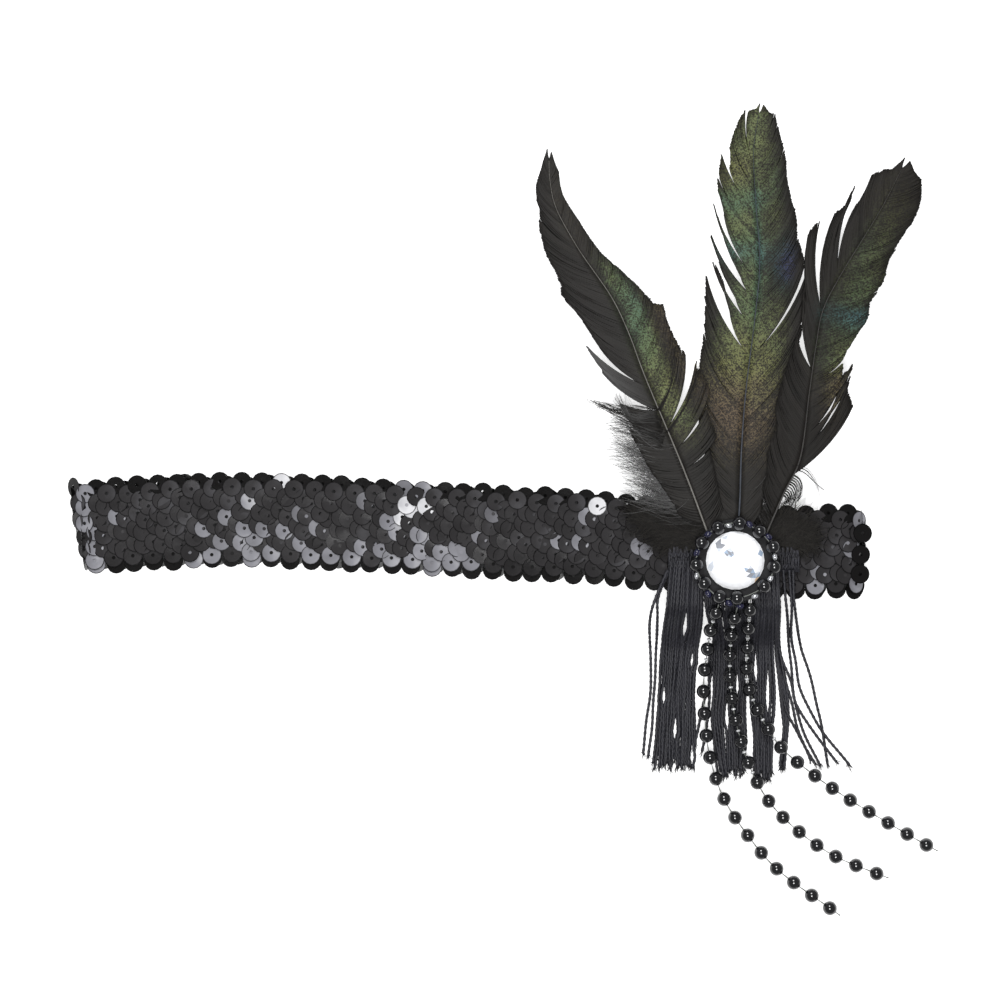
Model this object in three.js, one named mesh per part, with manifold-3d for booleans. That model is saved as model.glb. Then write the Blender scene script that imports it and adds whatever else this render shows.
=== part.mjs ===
// Flapper headband, laid flat: a closed loop of sequinned elastic, folded into two layers, with a
// beaded rosette sewn to its front. Behind the rosette sit three cock feathers, a tuft of down and
// a cord fringe, and three strings of beads hang from its ring. All of it lies on the surface z = 0.
// Units are millimetres, +Z is up. The origin is under the centre of the stone, on that surface,
// with +X along the band and +Y the way that the feathers point.

import * as THREE from "three";
import { mergeVertices } from "three/addons/utils/BufferGeometryUtils.js";
import Module from "manifold-3d";

const wasm = await Module();
wasm.setup();

// Gap between a piece and what it rests on or is sewn to
const SEAT = 0.3;

// Band: a loop of elastic web, covered on its outside with overlapping sequins
const LEFT_REACH = 204.2; // from the stone's axis to the left fold
const RIGHT_REACH = 41; // from the stone's axis to the right fold
const BAND_WIDTH = 29; // over the rims of the edge sequins
const ELASTIC_WIDTH = 24;
const ELASTIC_WALL = 1;
const SEQUIN_WALL = 1.1; // two sequins deep
const SEQUIN_DIAMETER = 6;
const EDGE_PITCH = 6.2; // from one edge sequin to the next
const LOOP_CLEARANCE = 4.8; // clear height inside the folded loop

// How the folded band lies. along: share of the folded length from the left fold; rise: its middle
// line's y as a share of the band's width; lean: how far its cross line slants; dip: how far the
// upper layer sags, as a share of the loop's clearance.
const BAND_SECTIONS = [
  { along: 0, rise: 0.34, lean: -0.2, dip: 0 },
  { along: 0.1, rise: 0.4, lean: -0.08, dip: 0.02 },
  { along: 0.22, rise: 0.43, lean: 0, dip: 0.06 },
  { along: 0.36, rise: 0.38, lean: 0.02, dip: 0.09 },
  { along: 0.5, rise: 0.31, lean: 0.03, dip: 0.09 },
  { along: 0.64, rise: 0.25, lean: 0.03, dip: 0.06 },
  { along: 0.76, rise: 0.16, lean: 0.03, dip: 0.03 },
  { along: 0.9, rise: 0.09, lean: 0.04, dip: 0.02 },
  { along: 1, rise: 0.08, lean: 0.03, dip: 0 },
];

// Rosette: a faceted stone inside a ring of round beads, on a felt disc
const STONE_DIAMETER = 18;
const STONE_HEIGHT = 4.8;
const STONE_SIDES = 16;
const FELT_WALL = 1;
const BEAD_DIAMETER = 4.4;
const BEAD_SIDES = 10;
const BEAD_BANDS = 4; // from one hole of a bead to the other
const THREAD_SIDES = 5;
const RING_GAP = 0.4; // between the stone's edge and the ring of beads
const RING_THREAD = 0.8;

// Ring beads, sewn on by hand. turn: degrees from +X; stray: how far the bead sits off the ring's
// circle, as a share of its diameter.
const RING_BEADS = [
  { turn: 20, stray: 0.16 },
  { turn: 51, stray: 0 },
  { turn: 84, stray: -0.06 },
  { turn: 118, stray: -0.04 },
  { turn: 152, stray: 0.04 },
  { turn: 186, stray: 0.14 },
  { turn: 216, stray: 0.08 },
  { turn: 246, stray: 0.14 },
  { turn: 272, stray: -0.05 },
  { turn: 318, stray: 0.04 },
  { turn: 351, stray: 0.1 },
];

// Strings of beads, each with its beads fixed on its thread
const STRING_REACH = 110; // from the stone's axis to the furthest bead
const STRING_THREAD = 0.7;
const BEAD_GAP = 2.5; // bare thread between two beads
const THREAD_END = 1.6; // bare thread past the last bead

// Fringe: cords looped over a heading, lying over the band's lower edge and out on the surface
const FRINGE_WIDTH = 40;
const FRINGE_REACH = 67; // from the stone's axis to the cut ends
const FRINGE_WALL = 1.8; // two cords deep
const HEADING_HEIGHT = 7.6;
const HEADING_WALL = 1.2;
const FRINGE_FALL = 16; // distance over which the fringe comes down to the surface
const BAND_EDGE = 12.8; // from the stone's axis to where the fringe leaves the band

// Locks of the fringe. head, middle, tip: x as a share of the fringe's width; end: share of its
// reach; wide: width as a share of the fringe's width.
const FRINGE_LOCKS = [
  { head: -0.48, middle: -0.61, tip: -0.66, end: 0.9, wide: 0.05 },
  { head: -0.45, middle: -0.51, tip: -0.57, end: 0.97, wide: 0.08 },
  { head: -0.41, middle: -0.45, tip: -0.5, end: 0.98, wide: 0.08 },
  { head: -0.36, middle: -0.38, tip: -0.4, end: 0.99, wide: 0.08 },
  { head: -0.31, middle: -0.32, tip: -0.33, end: 0.97, wide: 0.07 },
  { head: -0.24, middle: -0.275, tip: -0.28, end: 0.94, wide: 0.05 },
  { head: -0.16, middle: -0.15, tip: -0.2, end: 0.92, wide: 0.05 },
  { head: -0.09, middle: -0.08, tip: -0.04, end: 1.02, wide: 0.08 },
  { head: -0.03, middle: -0.01, tip: 0.02, end: 1, wide: 0.08 },
  { head: 0.04, middle: 0.05, tip: 0.1, end: 0.99, wide: 0.08 },
  { head: 0.1, middle: 0.12, tip: 0.18, end: 0.99, wide: 0.08 },
  { head: 0.16, middle: 0.18, tip: 0.24, end: 1.01, wide: 0.07 },
  { head: 0.22, middle: 0.25, tip: 0.29, end: 0.94, wide: 0.07 },
  { head: 0.28, middle: 0.34, tip: 0.41, end: 0.98, wide: 0.06 },
  { head: 0.34, middle: 0.44, tip: 0.675, end: 0.95, wide: 0.05 },
  { head: 0.41, middle: 0.52, tip: 0.79, end: 0.95, wide: 0.05 },
  { head: 0.45, middle: 0.62, tip: 0.91, end: 0.95, wide: 0.04 },
];

// Tuft of down behind the rosette
const DOWN_REACH = 28;
const DOWN_WALL = 1.1;
const DOWN_HEAD_WIDTH = 16;
const DOWN_HEAD_HEIGHT = 3;

// Locks of down. turn: degrees from +X; reach: share of the tuft's reach; wide: share of it too.
const DOWN_LOCKS = [
  { turn: 176, reach: 0.9, wide: 0.2 },
  { turn: 161, reach: 0.98, wide: 0.24 },
  { turn: 147, reach: 1, wide: 0.24 },
  { turn: 131, reach: 0.93, wide: 0.26 },
  { turn: 111, reach: 0.84, wide: 0.28 },
  { turn: 90, reach: 0.82, wide: 0.28 },
  { turn: 69, reach: 0.86, wide: 0.28 },
  { turn: 48, reach: 0.93, wide: 0.26 },
  { turn: 31, reach: 1.04, wide: 0.24 },
  { turn: 16, reach: 1.06, wide: 0.24 },
  { turn: 3, reach: 0.96, wide: 0.2 },
];

// Feathers
const QUILL_DIAMETER = 1.6;
const QUILL_TIP = 0.6; // share of the diameter left at the feather's tip
const QUILL_SIDES = 6;
const QUILL_STEPS = 12;
const VANE_WALL = 0.6;
const VANE_WIDTH = 20; // reach that a vane's table takes as 1
const VANE_CAMBER = 0.8; // how far a vane's rim lies below its quill
const VANE_CURL = 14; // degrees by which a barb leaves the quill wider than it ends
const LEFT_FEATHER = 138;
const MIDDLE_FEATHER = 142;
const RIGHT_FEATHER = 134;
const FEATHER_ARCH = 9; // how far a feather's tip sinks below its root

// How each feather rises and sinks, as a share of the arch. The side feathers lie over the middle
// one.
const SIDE_HEIGHTS = [
  { along: 0, lift: 0 },
  { along: 0.09, lift: 0 },
  { along: 0.16, lift: 0.15 },
  { along: 0.3, lift: 0.19 },
  { along: 0.5, lift: 0.02 },
  { along: 0.7, lift: -0.28 },
  { along: 0.85, lift: -0.56 },
  { along: 1, lift: -0.86 },
];
const MIDDLE_HEIGHTS = [
  { along: 0, lift: 0 },
  { along: 0.12, lift: 0 },
  { along: 0.3, lift: -0.07 },
  { along: 0.5, lift: -0.24 },
  { along: 0.7, lift: -0.5 },
  { along: 0.85, lift: -0.76 },
  { along: 1, lift: -1 },
];

// Each feather: where its root lies, as a share of the felt disc's radius, its quill's line as
// shares of its length, and the ribs of its two vanes. along: where the rib leaves the quill;
// reach: share of the vane's width; angle: degrees from the quill; lock: ribs with one number are
// one unbroken piece of vane.
const FEATHERS = [
  {
    name: "feather_left",
    length: LEFT_FEATHER,
    root: -0.4,
    heights: SIDE_HEIGHTS,
    line: [
      { x: 0, y: 0 },
      { x: -0.03, y: 0.08 },
      { x: -0.08, y: 0.21 },
      { x: -0.165, y: 0.415 },
      { x: -0.2, y: 0.51 },
      { x: -0.235, y: 0.585 },
      { x: -0.315, y: 0.705 },
      { x: -0.37, y: 0.8 },
      { x: -0.385, y: 0.86 },
      { x: -0.38, y: 0.915 },
    ],
    left: [
      { lock: 0, along: 0.11, reach: 0.62, angle: 50 },
      { lock: 0, along: 0.22, reach: 0.85, angle: 68 },
      { lock: 0, along: 0.31, reach: 1, angle: 58 },
      { lock: 1, along: 0.32, reach: 1.05, angle: 54 },
      { lock: 1, along: 0.35, reach: 1.2, angle: 53 },
      { lock: 2, along: 0.37, reach: 1.05, angle: 33 },
      { lock: 2, along: 0.41, reach: 1.15, angle: 34 },
      { lock: 3, along: 0.42, reach: 0.95, angle: 29 },
      { lock: 3, along: 0.53, reach: 1.18, angle: 38 },
      { lock: 3, along: 0.61, reach: 1.08, angle: 34 },
      { lock: 3, along: 0.69, reach: 0.95, angle: 27 },
      { lock: 3, along: 0.78, reach: 0.8, angle: 13 },
      { lock: 3, along: 0.93, reach: 0.33, angle: 17 },
    ],
    right: [
      { lock: 0, along: 0.1, reach: 0.5, angle: 52 },
      { lock: 0, along: 0.18, reach: 0.7, angle: 62 },
      { lock: 0, along: 0.22, reach: 0.6, angle: 66 },
      { lock: 1, along: 0.23, reach: 0.62, angle: 66 },
      { lock: 1, along: 0.27, reach: 0.77, angle: 57 },
      { lock: 2, along: 0.28, reach: 0.8, angle: 55 },
      { lock: 2, along: 0.31, reach: 1.15, angle: 48 },
      { lock: 3, along: 0.33, reach: 0.85, angle: 51 },
      { lock: 3, along: 0.35, reach: 1.05, angle: 49 },
      { lock: 4, along: 0.37, reach: 1, angle: 40 },
      { lock: 4, along: 0.44, reach: 1.15, angle: 35 },
      { lock: 4, along: 0.5, reach: 0.8, angle: 39 },
      { lock: 4, along: 0.6, reach: 0.52, angle: 45 },
      { lock: 4, along: 0.69, reach: 0.37, angle: 45 },
      { lock: 4, along: 0.78, reach: 0.35, angle: 35 },
      { lock: 4, along: 0.93, reach: 0.22, angle: 38 },
    ],
  },
  {
    name: "feather_middle",
    length: MIDDLE_FEATHER,
    root: 0.01,
    heights: MIDDLE_HEIGHTS,
    line: [
      { x: 0, y: 0 },
      { x: 0.01, y: 0.11 },
      { x: 0.015, y: 0.245 },
      { x: 0.025, y: 0.37 },
      { x: 0.045, y: 0.525 },
      { x: 0.057, y: 0.65 },
      { x: 0.05, y: 0.775 },
      { x: 0.046, y: 0.9 },
      { x: 0.06, y: 0.99 },
    ],
    left: [
      { lock: 0, along: 0.11, reach: 0.55, angle: 40 },
      { lock: 0, along: 0.22, reach: 1.1, angle: 38 },
      { lock: 0, along: 0.36, reach: 1.3, angle: 33 },
      { lock: 0, along: 0.44, reach: 1.45, angle: 35 },
      { lock: 1, along: 0.45, reach: 1.05, angle: 28 },
      { lock: 1, along: 0.49, reach: 1.3, angle: 34 },
      { lock: 2, along: 0.5, reach: 1.1, angle: 33 },
      { lock: 2, along: 0.55, reach: 1.35, angle: 42 },
      { lock: 3, along: 0.56, reach: 0.9, angle: 34 },
      { lock: 3, along: 0.59, reach: 1.5, angle: 32 },
      { lock: 4, along: 0.6, reach: 1.2, angle: 30 },
      { lock: 4, along: 0.68, reach: 1.12, angle: 32 },
      { lock: 4, along: 0.76, reach: 1.07, angle: 26 },
      { lock: 5, along: 0.77, reach: 0.82, angle: 26 },
      { lock: 5, along: 0.81, reach: 0.81, angle: 24 },
      { lock: 5, along: 0.86, reach: 0.85, angle: 9 },
      { lock: 6, along: 0.88, reach: 0.78, angle: 8 },
      { lock: 6, along: 0.96, reach: 0.25, angle: 14 },
    ],
    right: [
      { lock: 0, along: 0.14, reach: 0.6, angle: 22 },
      { lock: 0, along: 0.26, reach: 1, angle: 29 },
      { lock: 1, along: 0.3, reach: 1.45, angle: 32 },
      { lock: 1, along: 0.44, reach: 1.33, angle: 43 },
      { lock: 2, along: 0.45, reach: 1.65, angle: 23 },
      { lock: 2, along: 0.59, reach: 1, angle: 33 },
      { lock: 2, along: 0.65, reach: 0.97, angle: 34 },
      { lock: 2, along: 0.76, reach: 0.9, angle: 35 },
      { lock: 2, along: 0.83, reach: 0.76, angle: 38 },
      { lock: 2, along: 0.9, reach: 0.6, angle: 32 },
      { lock: 2, along: 0.96, reach: 0.2, angle: 30 },
    ],
  },
  {
    name: "feather_right",
    length: RIGHT_FEATHER,
    root: 0.5,
    heights: SIDE_HEIGHTS,
    line: [
      { x: 0, y: 0 },
      { x: 0.03, y: 0.07 },
      { x: 0.067, y: 0.157 },
      { x: 0.1, y: 0.225 },
      { x: 0.125, y: 0.39 },
      { x: 0.14, y: 0.49 },
      { x: 0.157, y: 0.575 },
      { x: 0.195, y: 0.65 },
      { x: 0.3, y: 0.82 },
      { x: 0.352, y: 0.92 },
    ],
    left: [
      { lock: 0, along: 0.13, reach: 0.5, angle: 42 },
      { lock: 0, along: 0.19, reach: 0.73, angle: 50 },
      { lock: 0, along: 0.24, reach: 0.86, angle: 42 },
      { lock: 0, along: 0.32, reach: 0.78, angle: 35 },
      { lock: 0, along: 0.45, reach: 0.62, angle: 30 },
      { lock: 1, along: 0.47, reach: 1.3, angle: 12 },
      { lock: 1, along: 0.59, reach: 1.45, angle: 17 },
      { lock: 2, along: 0.6, reach: 1.57, angle: 9 },
      { lock: 2, along: 0.67, reach: 1.5, angle: 19 },
      { lock: 3, along: 0.69, reach: 1.23, angle: 15 },
      { lock: 3, along: 0.82, reach: 0.82, angle: 27 },
      { lock: 3, along: 0.93, reach: 0.4, angle: 34 },
    ],
    right: [
      { lock: 0, along: 0.24, reach: 1.37, angle: 15 },
      { lock: 0, along: 0.35, reach: 1.05, angle: 36 },
      { lock: 1, along: 0.38, reach: 0.57, angle: 47 },
      { lock: 1, along: 0.43, reach: 0.58, angle: 50 },
      { lock: 1, along: 0.53, reach: 0.88, angle: 56 },
      { lock: 1, along: 0.6, reach: 0.9, angle: 52 },
      { lock: 1, along: 0.68, reach: 0.87, angle: 38 },
      { lock: 1, along: 0.76, reach: 1, angle: 33 },
      { lock: 1, along: 0.89, reach: 0.55, angle: 41 },
      { lock: 1, along: 0.95, reach: 0.32, angle: 55 },
    ],
  },
];

// Colours of the real object
const BLACK_FOIL = { color: 0x2b2b2e, roughness: 0.25, metalness: 0.1 };
const BLACK_WEB = { color: 0x141416, roughness: 0.9, metalness: 0 };
const BLACK_CORD = { color: 0x1c1c22, roughness: 0.7, metalness: 0 };
const BLACK_BEAD = { color: 0x0a0a0c, roughness: 0.08, metalness: 0 };
const BLACK_DOWN = { color: 0x12100e, roughness: 1, metalness: 0 };
const DARK_FEATHER = { color: 0x232420, roughness: 0.55, metalness: 0 };
const GREEN_FEATHER = { color: 0x3a4230, roughness: 0.5, metalness: 0.1 };
const CLEAR_STONE = { color: 0xe8eef4, roughness: 0.04, metalness: 0.2 };

// Levels above the surface
const BAND_WALL = ELASTIC_WALL + SEAT + SEQUIN_WALL;
const LOOP_RISE = BAND_WALL + LOOP_CLEARANCE / 2; // middle of the folded loop
const TRIM_LEVEL = 2 * LOOP_RISE + SEAT;
const QUILL_LEVEL = TRIM_LEVEL + Math.max(HEADING_WALL, DOWN_WALL) + SEAT + QUILL_DIAMETER / 2;
const FELT_LEVEL = QUILL_LEVEL + QUILL_DIAMETER / 2 + SEAT;
const STONE_LEVEL = FELT_LEVEL + FELT_WALL + SEAT;
const BEAD_RADIUS = BEAD_DIAMETER / 2;
const RING_LEVEL = STONE_LEVEL + BEAD_RADIUS;
const RING_RADIUS = STONE_DIAMETER / 2 + RING_GAP + BEAD_RADIUS;
const FELT_RADIUS = RING_RADIUS + BEAD_RADIUS / 2;

const FLOOR_BEAD = BEAD_RADIUS; // a bead's centre where the string lies on the surface
const FRINGE_BEAD = FRINGE_WALL + SEAT + BEAD_RADIUS; // and where it lies on the fringe

// Routes of the bead strings, chosen points in the plan as shares of the strings' reach. turn: where
// the string is tied to the ring; under: true where that is at a ring bead and false where it is
// between two; lead: bare thread before the first bead; z is the level of the string's middle line.
const STRINGS = [
  {
    name: "bead_string_left",
    turn: 249,
    under: true,
    lead: 1.2,
    beads: 17,
    points: [
      { x: -0.065, y: -0.192, z: 11.2 },
      { x: -0.072, y: -0.255, z: 7.4 },
      { x: -0.081, y: -0.345, z: FRINGE_BEAD + 0.5 },
      { x: -0.078, y: -0.445, z: FRINGE_BEAD },
      { x: -0.064, y: -0.555, z: FRINGE_BEAD },
      { x: -0.025, y: -0.673, z: FRINGE_BEAD - 0.7 },
      { x: 0.04, y: -0.775, z: FLOOR_BEAD },
      { x: 0.122, y: -0.872, z: FLOOR_BEAD },
      { x: 0.273, y: -0.985, z: FLOOR_BEAD },
      { x: 0.32, y: -1.018, z: FLOOR_BEAD },
    ],
  },
  {
    name: "bead_string_middle",
    turn: 272,
    under: true,
    lead: 2.4,
    beads: 16,
    points: [
      { x: -0.005, y: -0.191, z: 11.2 },
      { x: -0.008, y: -0.255, z: 7.4 },
      { x: -0.006, y: -0.345, z: FRINGE_BEAD + 0.5 },
      { x: 0.01, y: -0.455, z: FRINGE_BEAD },
      { x: 0.045, y: -0.574, z: FRINGE_BEAD },
      { x: 0.101, y: -0.68, z: FRINGE_BEAD - 0.7 },
      { x: 0.185, y: -0.767, z: FLOOR_BEAD },
      { x: 0.285, y: -0.837, z: FLOOR_BEAD },
      { x: 0.399, y: -0.886, z: FLOOR_BEAD },
      { x: 0.455, y: -0.907, z: FLOOR_BEAD },
    ],
  },
  {
    name: "bead_string_right",
    turn: 291,
    under: false,
    lead: 1.8,
    beads: 16,
    points: [
      { x: 0.04, y: -0.191, z: 11.2 },
      { x: 0.04, y: -0.255, z: 7.4 },
      { x: 0.042, y: -0.345, z: FRINGE_BEAD + 0.5 },
      { x: 0.071, y: -0.423, z: FRINGE_BEAD },
      { x: 0.134, y: -0.526, z: FRINGE_BEAD },
      { x: 0.227, y: -0.606, z: FRINGE_BEAD },
      { x: 0.331, y: -0.679, z: FLOOR_BEAD + 0.2 },
      { x: 0.435, y: -0.742, z: FLOOR_BEAD },
      { x: 0.544, y: -0.805, z: FLOOR_BEAD },
      { x: 0.597, y: -0.833, z: FLOOR_BEAD },
    ],
  },
];

// Value of a table's column at a place between its rows, on a smooth curve through them.
function smooth(table, column, at) {
  const last = table.length - 1;
  const place = THREE.MathUtils.clamp(at, table[0].along, table[last].along);
  let i = 0;
  while (i < last - 1 && table[i + 1].along < place) i += 1;
  const slope = (k) => {
    const before = table[Math.max(k - 1, 0)];
    const after = table[Math.min(k + 1, last)];
    return (after[column] - before[column]) / (after.along - before.along);
  };
  const span = table[i + 1].along - table[i].along;
  const t = (place - table[i].along) / span;
  const pull = t * (1 - t);
  const near = pull * (1 - t) * span * slope(i);
  const far = pull * t * span * slope(i + 1);
  const share = t * t * (3 - 2 * t);
  return (1 - share) * table[i][column] + share * table[i + 1][column] + near - far;
}

// Closed geometry through rings of points that follow one another, where one may have more points
// than the next. A looped skin joins its last ring to its first, and any other has its two end
// rings filled.
function skin(rings, looped = false) {
  const positions = rings.flat().flatMap((p) => [p.x, p.y, p.z]);
  const starts = [];
  let count = 0;
  for (const ring of rings) {
    starts.push(count);
    count += ring.length;
  }
  const faces = [];
  const bands = looped ? rings.length : rings.length - 1;
  for (let r = 0; r < bands; r += 1) {
    const next = (r + 1) % rings.length;
    const most = Math.max(rings[r].length, rings[next].length);
    const corner = (ring, s) => {
      const sides = rings[ring].length;
      return starts[ring] + (Math.floor((s * sides) / most) % sides);
    };
    for (let s = 0; s < most; s += 1) {
      const [a, b] = [corner(r, s), corner(r, s + 1)];
      const [d, c] = [corner(next, s), corner(next, s + 1)];
      if (a !== b) faces.push([a, b, c]);
      if (c !== d) faces.push([a, c, d]);
    }
  }
  if (!looped) {
    const end = starts.at(-1);
    for (let s = 1; s < rings[0].length - 1; s += 1) faces.push([0, s + 1, s]);
    for (let s = 1; s < rings.at(-1).length - 1; s += 1) faces.push([end, end + s, end + s + 1]);
  }
  return facingOut(positions, faces);
}

// Geometry of those faces, turned so that they point out of the solid.
function facingOut(positions, faces) {
  const corner = (i) => new THREE.Vector3().fromArray(positions, 3 * i);
  let volume = 0;
  for (const [a, b, c] of faces) volume += corner(a).dot(corner(b).cross(corner(c)));
  const turned = volume < 0 ? faces.map(([a, b, c]) => [a, c, b]) : faces;
  const geometry = new THREE.BufferGeometry();
  geometry.setAttribute("position", new THREE.Float32BufferAttribute(positions, 3));
  geometry.setIndex(turned.flat());
  geometry.computeVertexNormals();
  return geometry;
}

// One closed geometry from several that overlap.
function join(geometries) {
  const solids = geometries.map((geometry) => {
    const bare = geometry.clone();
    bare.deleteAttribute("normal");
    bare.deleteAttribute("uv");
    const merged = mergeVertices(bare, 1e-4);
    const mesh = new wasm.Mesh({
      numProp: 3,
      vertProperties: merged.attributes.position.array,
      triVerts: new Uint32Array(merged.index.array),
    });
    return new wasm.Manifold(mesh);
  });
  const mesh = solids.reduce((whole, solid) => whole.add(solid)).getMesh();
  const joined = new THREE.BufferGeometry();
  joined.setAttribute("position", new THREE.BufferAttribute(mesh.vertProperties, 3));
  joined.setIndex(new THREE.BufferAttribute(mesh.triVerts, 1));
  joined.computeVertexNormals();
  return joined;
}

// Named mesh of a geometry in a colour.
function piece(name, geometry, look) {
  const mesh = new THREE.Mesh(geometry, new THREE.MeshStandardMaterial(look));
  mesh.name = name;
  return mesh;
}

// Rectangular ring across a path that runs mostly along the given heading in the plan.
function crossRing(middle, heading, width, wall) {
  const side = new THREE.Vector3(-heading.y, heading.x, 0).setLength(width / 2);
  const up = new THREE.Vector3(0, 0, wall);
  const low = middle.clone().sub(side);
  const high = middle.clone().add(side);
  return [low, high, high.clone().add(up), low.clone().add(up)];
}

// Round ring of a thread or bead, square to its direction.
function roundRing(middle, direction, radius, sides) {
  const across = new THREE.Vector3(-direction.y, direction.x, 0).normalize();
  const up = new THREE.Vector3().crossVectors(direction, across).normalize();
  const ring = [];
  for (let s = 0; s < sides; s += 1) {
    const turn = (2 * Math.PI * s) / sides;
    const out = across.clone().multiplyScalar(Math.cos(turn)).addScaledVector(up, Math.sin(turn));
    ring.push(middle.clone().addScaledVector(out, radius));
  }
  return ring;
}

// Rings of one bead on its thread, from where the thread goes in to where it comes out.
function beadRings(middle, direction, thread) {
  const pierced = Math.asin(thread / 2 / BEAD_RADIUS);
  const rows = [{ turn: pierced, sides: THREAD_SIDES }];
  for (let b = 1; b < BEAD_BANDS; b += 1) {
    rows.push({ turn: (Math.PI * b) / BEAD_BANDS, sides: BEAD_SIDES });
  }
  rows.push({ turn: Math.PI - pierced, sides: THREAD_SIDES });
  return rows.map(({ turn, sides }) => {
    const place = middle.clone().addScaledVector(direction, -BEAD_RADIUS * Math.cos(turn));
    return roundRing(place, direction, BEAD_RADIUS * Math.sin(turn), sides);
  });
}

// The band's folded length, and the radius and centres of its folds.
const BAND_LENGTH = LEFT_REACH + RIGHT_REACH;
const FOLD_RADIUS = LOOP_CLEARANCE / 2;
const LEFT_FOLD = -LEFT_REACH + LOOP_RISE;
const RIGHT_FOLD = RIGHT_REACH - LOOP_RISE;
const RUN = RIGHT_FOLD - LEFT_FOLD;
const TURN = Math.PI * (FOLD_RADIUS + BAND_WALL / 2);
const LOOP_LENGTH = 2 * (RUN + TURN);

// A place on the loop's inner face, and the way out of it, at a distance along the loop: over the
// upper layer, round the right fold, back under and round the left fold.
function loopPlace(distance) {
  const way = distance % LOOP_LENGTH;
  const share = (x) => (x + LEFT_REACH) / BAND_LENGTH;
  if (way < RUN) {
    const x = LEFT_FOLD + way;
    const dip = LOOP_CLEARANCE * smooth(BAND_SECTIONS, "dip", share(x));
    return { x, z: LOOP_RISE + FOLD_RADIUS - dip, outX: 0, outZ: 1 };
  }
  if (way < RUN + TURN) {
    const angle = Math.PI / 2 - (Math.PI * (way - RUN)) / TURN;
    const [outX, outZ] = [Math.cos(angle), Math.sin(angle)];
    return { x: RIGHT_FOLD + FOLD_RADIUS * outX, z: LOOP_RISE + FOLD_RADIUS * outZ, outX, outZ };
  }
  if (way < 2 * RUN + TURN) {
    return { x: RIGHT_FOLD - (way - RUN - TURN), z: LOOP_RISE - FOLD_RADIUS, outX: 0, outZ: -1 };
  }
  const angle = -Math.PI / 2 - (Math.PI * (way - 2 * RUN - TURN)) / TURN;
  const [outX, outZ] = [Math.cos(angle), Math.sin(angle)];
  return { x: LEFT_FOLD + FOLD_RADIUS * outX, z: LOOP_RISE + FOLD_RADIUS * outZ, outX, outZ };
}

// Ring of four corners across the band at a distance along the loop. inner and outer are distances
// from the loop's inner face; low and high are distances from the band's middle line.
function bandRing(distance, inner, outer, low, high) {
  const place = loopPlace(distance);
  const along = (place.x + LEFT_REACH) / BAND_LENGTH;
  const middle = BAND_WIDTH * smooth(BAND_SECTIONS, "rise", along);
  const lean = smooth(BAND_SECTIONS, "lean", along);
  const corner = (offset, cross) =>
    new THREE.Vector3(
      place.x + offset * place.outX + lean * cross,
      middle + cross,
      place.z + offset * place.outZ,
    );
  return [corner(inner, -low), corner(outer, -low), corner(outer, high), corner(inner, high)];
}

// The loop of elastic web.
function makeElastic() {
  const runSteps = 20;
  const turnSteps = 6;
  const distances = [];
  for (let i = 0; i < runSteps; i += 1) distances.push((RUN * i) / runSteps);
  for (let i = 0; i < turnSteps; i += 1) distances.push(RUN + (TURN * i) / turnSteps);
  const half = distances.length;
  for (let i = 0; i < half; i += 1) distances.push(RUN + TURN + distances[i]);
  const cross = ELASTIC_WIDTH / 2;
  const rings = distances.map((distance) => bandRing(distance, 0, ELASTIC_WALL, cross, cross));
  return piece("elastic_band", skin(rings, true), BLACK_WEB);
}

// The coat of sequins on the loop's outside. Its edges are scalloped by the rims of the edge
// sequins, those of the lower edge half a sequin along from those of the upper one.
function makeSequinCoat() {
  const scallops = Math.round(LOOP_LENGTH / EDGE_PITCH);
  const stepsEach = 3;
  const rim = SEQUIN_DIAMETER / 2;
  const rimLine = BAND_WIDTH / 2 - rim;
  const reach = (phase) => {
    const off = (Math.abs(phase - Math.round(phase)) * LOOP_LENGTH) / scallops;
    return rimLine + Math.sqrt(Math.max(rim * rim - off * off, 0));
  };
  const inner = ELASTIC_WALL + SEAT;
  const rings = [];
  for (let step = 0; step < scallops * stepsEach; step += 1) {
    const phase = step / stepsEach;
    const distance = (LOOP_LENGTH * phase) / scallops;
    rings.push(bandRing(distance, inner, inner + SEQUIN_WALL, reach(phase + 0.5), reach(phase)));
  }
  return piece("sequin_coat", skin(rings, true), BLACK_FOIL);
}

// The faceted stone: a flat back, a girdle, two crown rows of facets and a table.
function makeStone() {
  const rows = [
    { reach: 0.95, rise: 0, turn: 0 },
    { reach: 1, rise: 0.16, turn: 0 },
    { reach: 0.82, rise: 0.62, turn: 0.5 },
    { reach: 0.52, rise: 1, turn: 0 },
  ];
  const rings = rows.map(({ reach, rise, turn }) => {
    const ring = [];
    for (let s = 0; s < STONE_SIDES; s += 1) {
      const angle = (2 * Math.PI * (s + turn)) / STONE_SIDES;
      const radius = (reach * STONE_DIAMETER) / 2;
      ring.push(new THREE.Vector3(radius * Math.cos(angle), radius * Math.sin(angle), 0));
      ring[s].z = STONE_LEVEL + rise * STONE_HEIGHT;
    }
    return ring;
  });
  return piece("centre_stone", skin(rings), CLEAR_STONE);
}

// The felt disc that the stone is glued to and the beads are sewn to.
function makeFelt() {
  const sides = 24;
  const disc = new THREE.CylinderGeometry(FELT_RADIUS, FELT_RADIUS, FELT_WALL, sides);
  disc.rotateX(Math.PI / 2);
  const felt = piece("felt_backing", disc, BLACK_WEB);
  felt.position.z = FELT_LEVEL + FELT_WALL / 2;
  return felt;
}

// Centre of a ring bead, and the ring's direction there.
function ringBead({ turn, stray }) {
  const angle = THREE.MathUtils.degToRad(turn);
  const radius = RING_RADIUS + Math.max(stray * BEAD_DIAMETER, 0);
  const middle = new THREE.Vector3(radius * Math.cos(angle), radius * Math.sin(angle), RING_LEVEL);
  return { middle, direction: new THREE.Vector3(-Math.sin(angle), Math.cos(angle), 0) };
}

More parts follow.
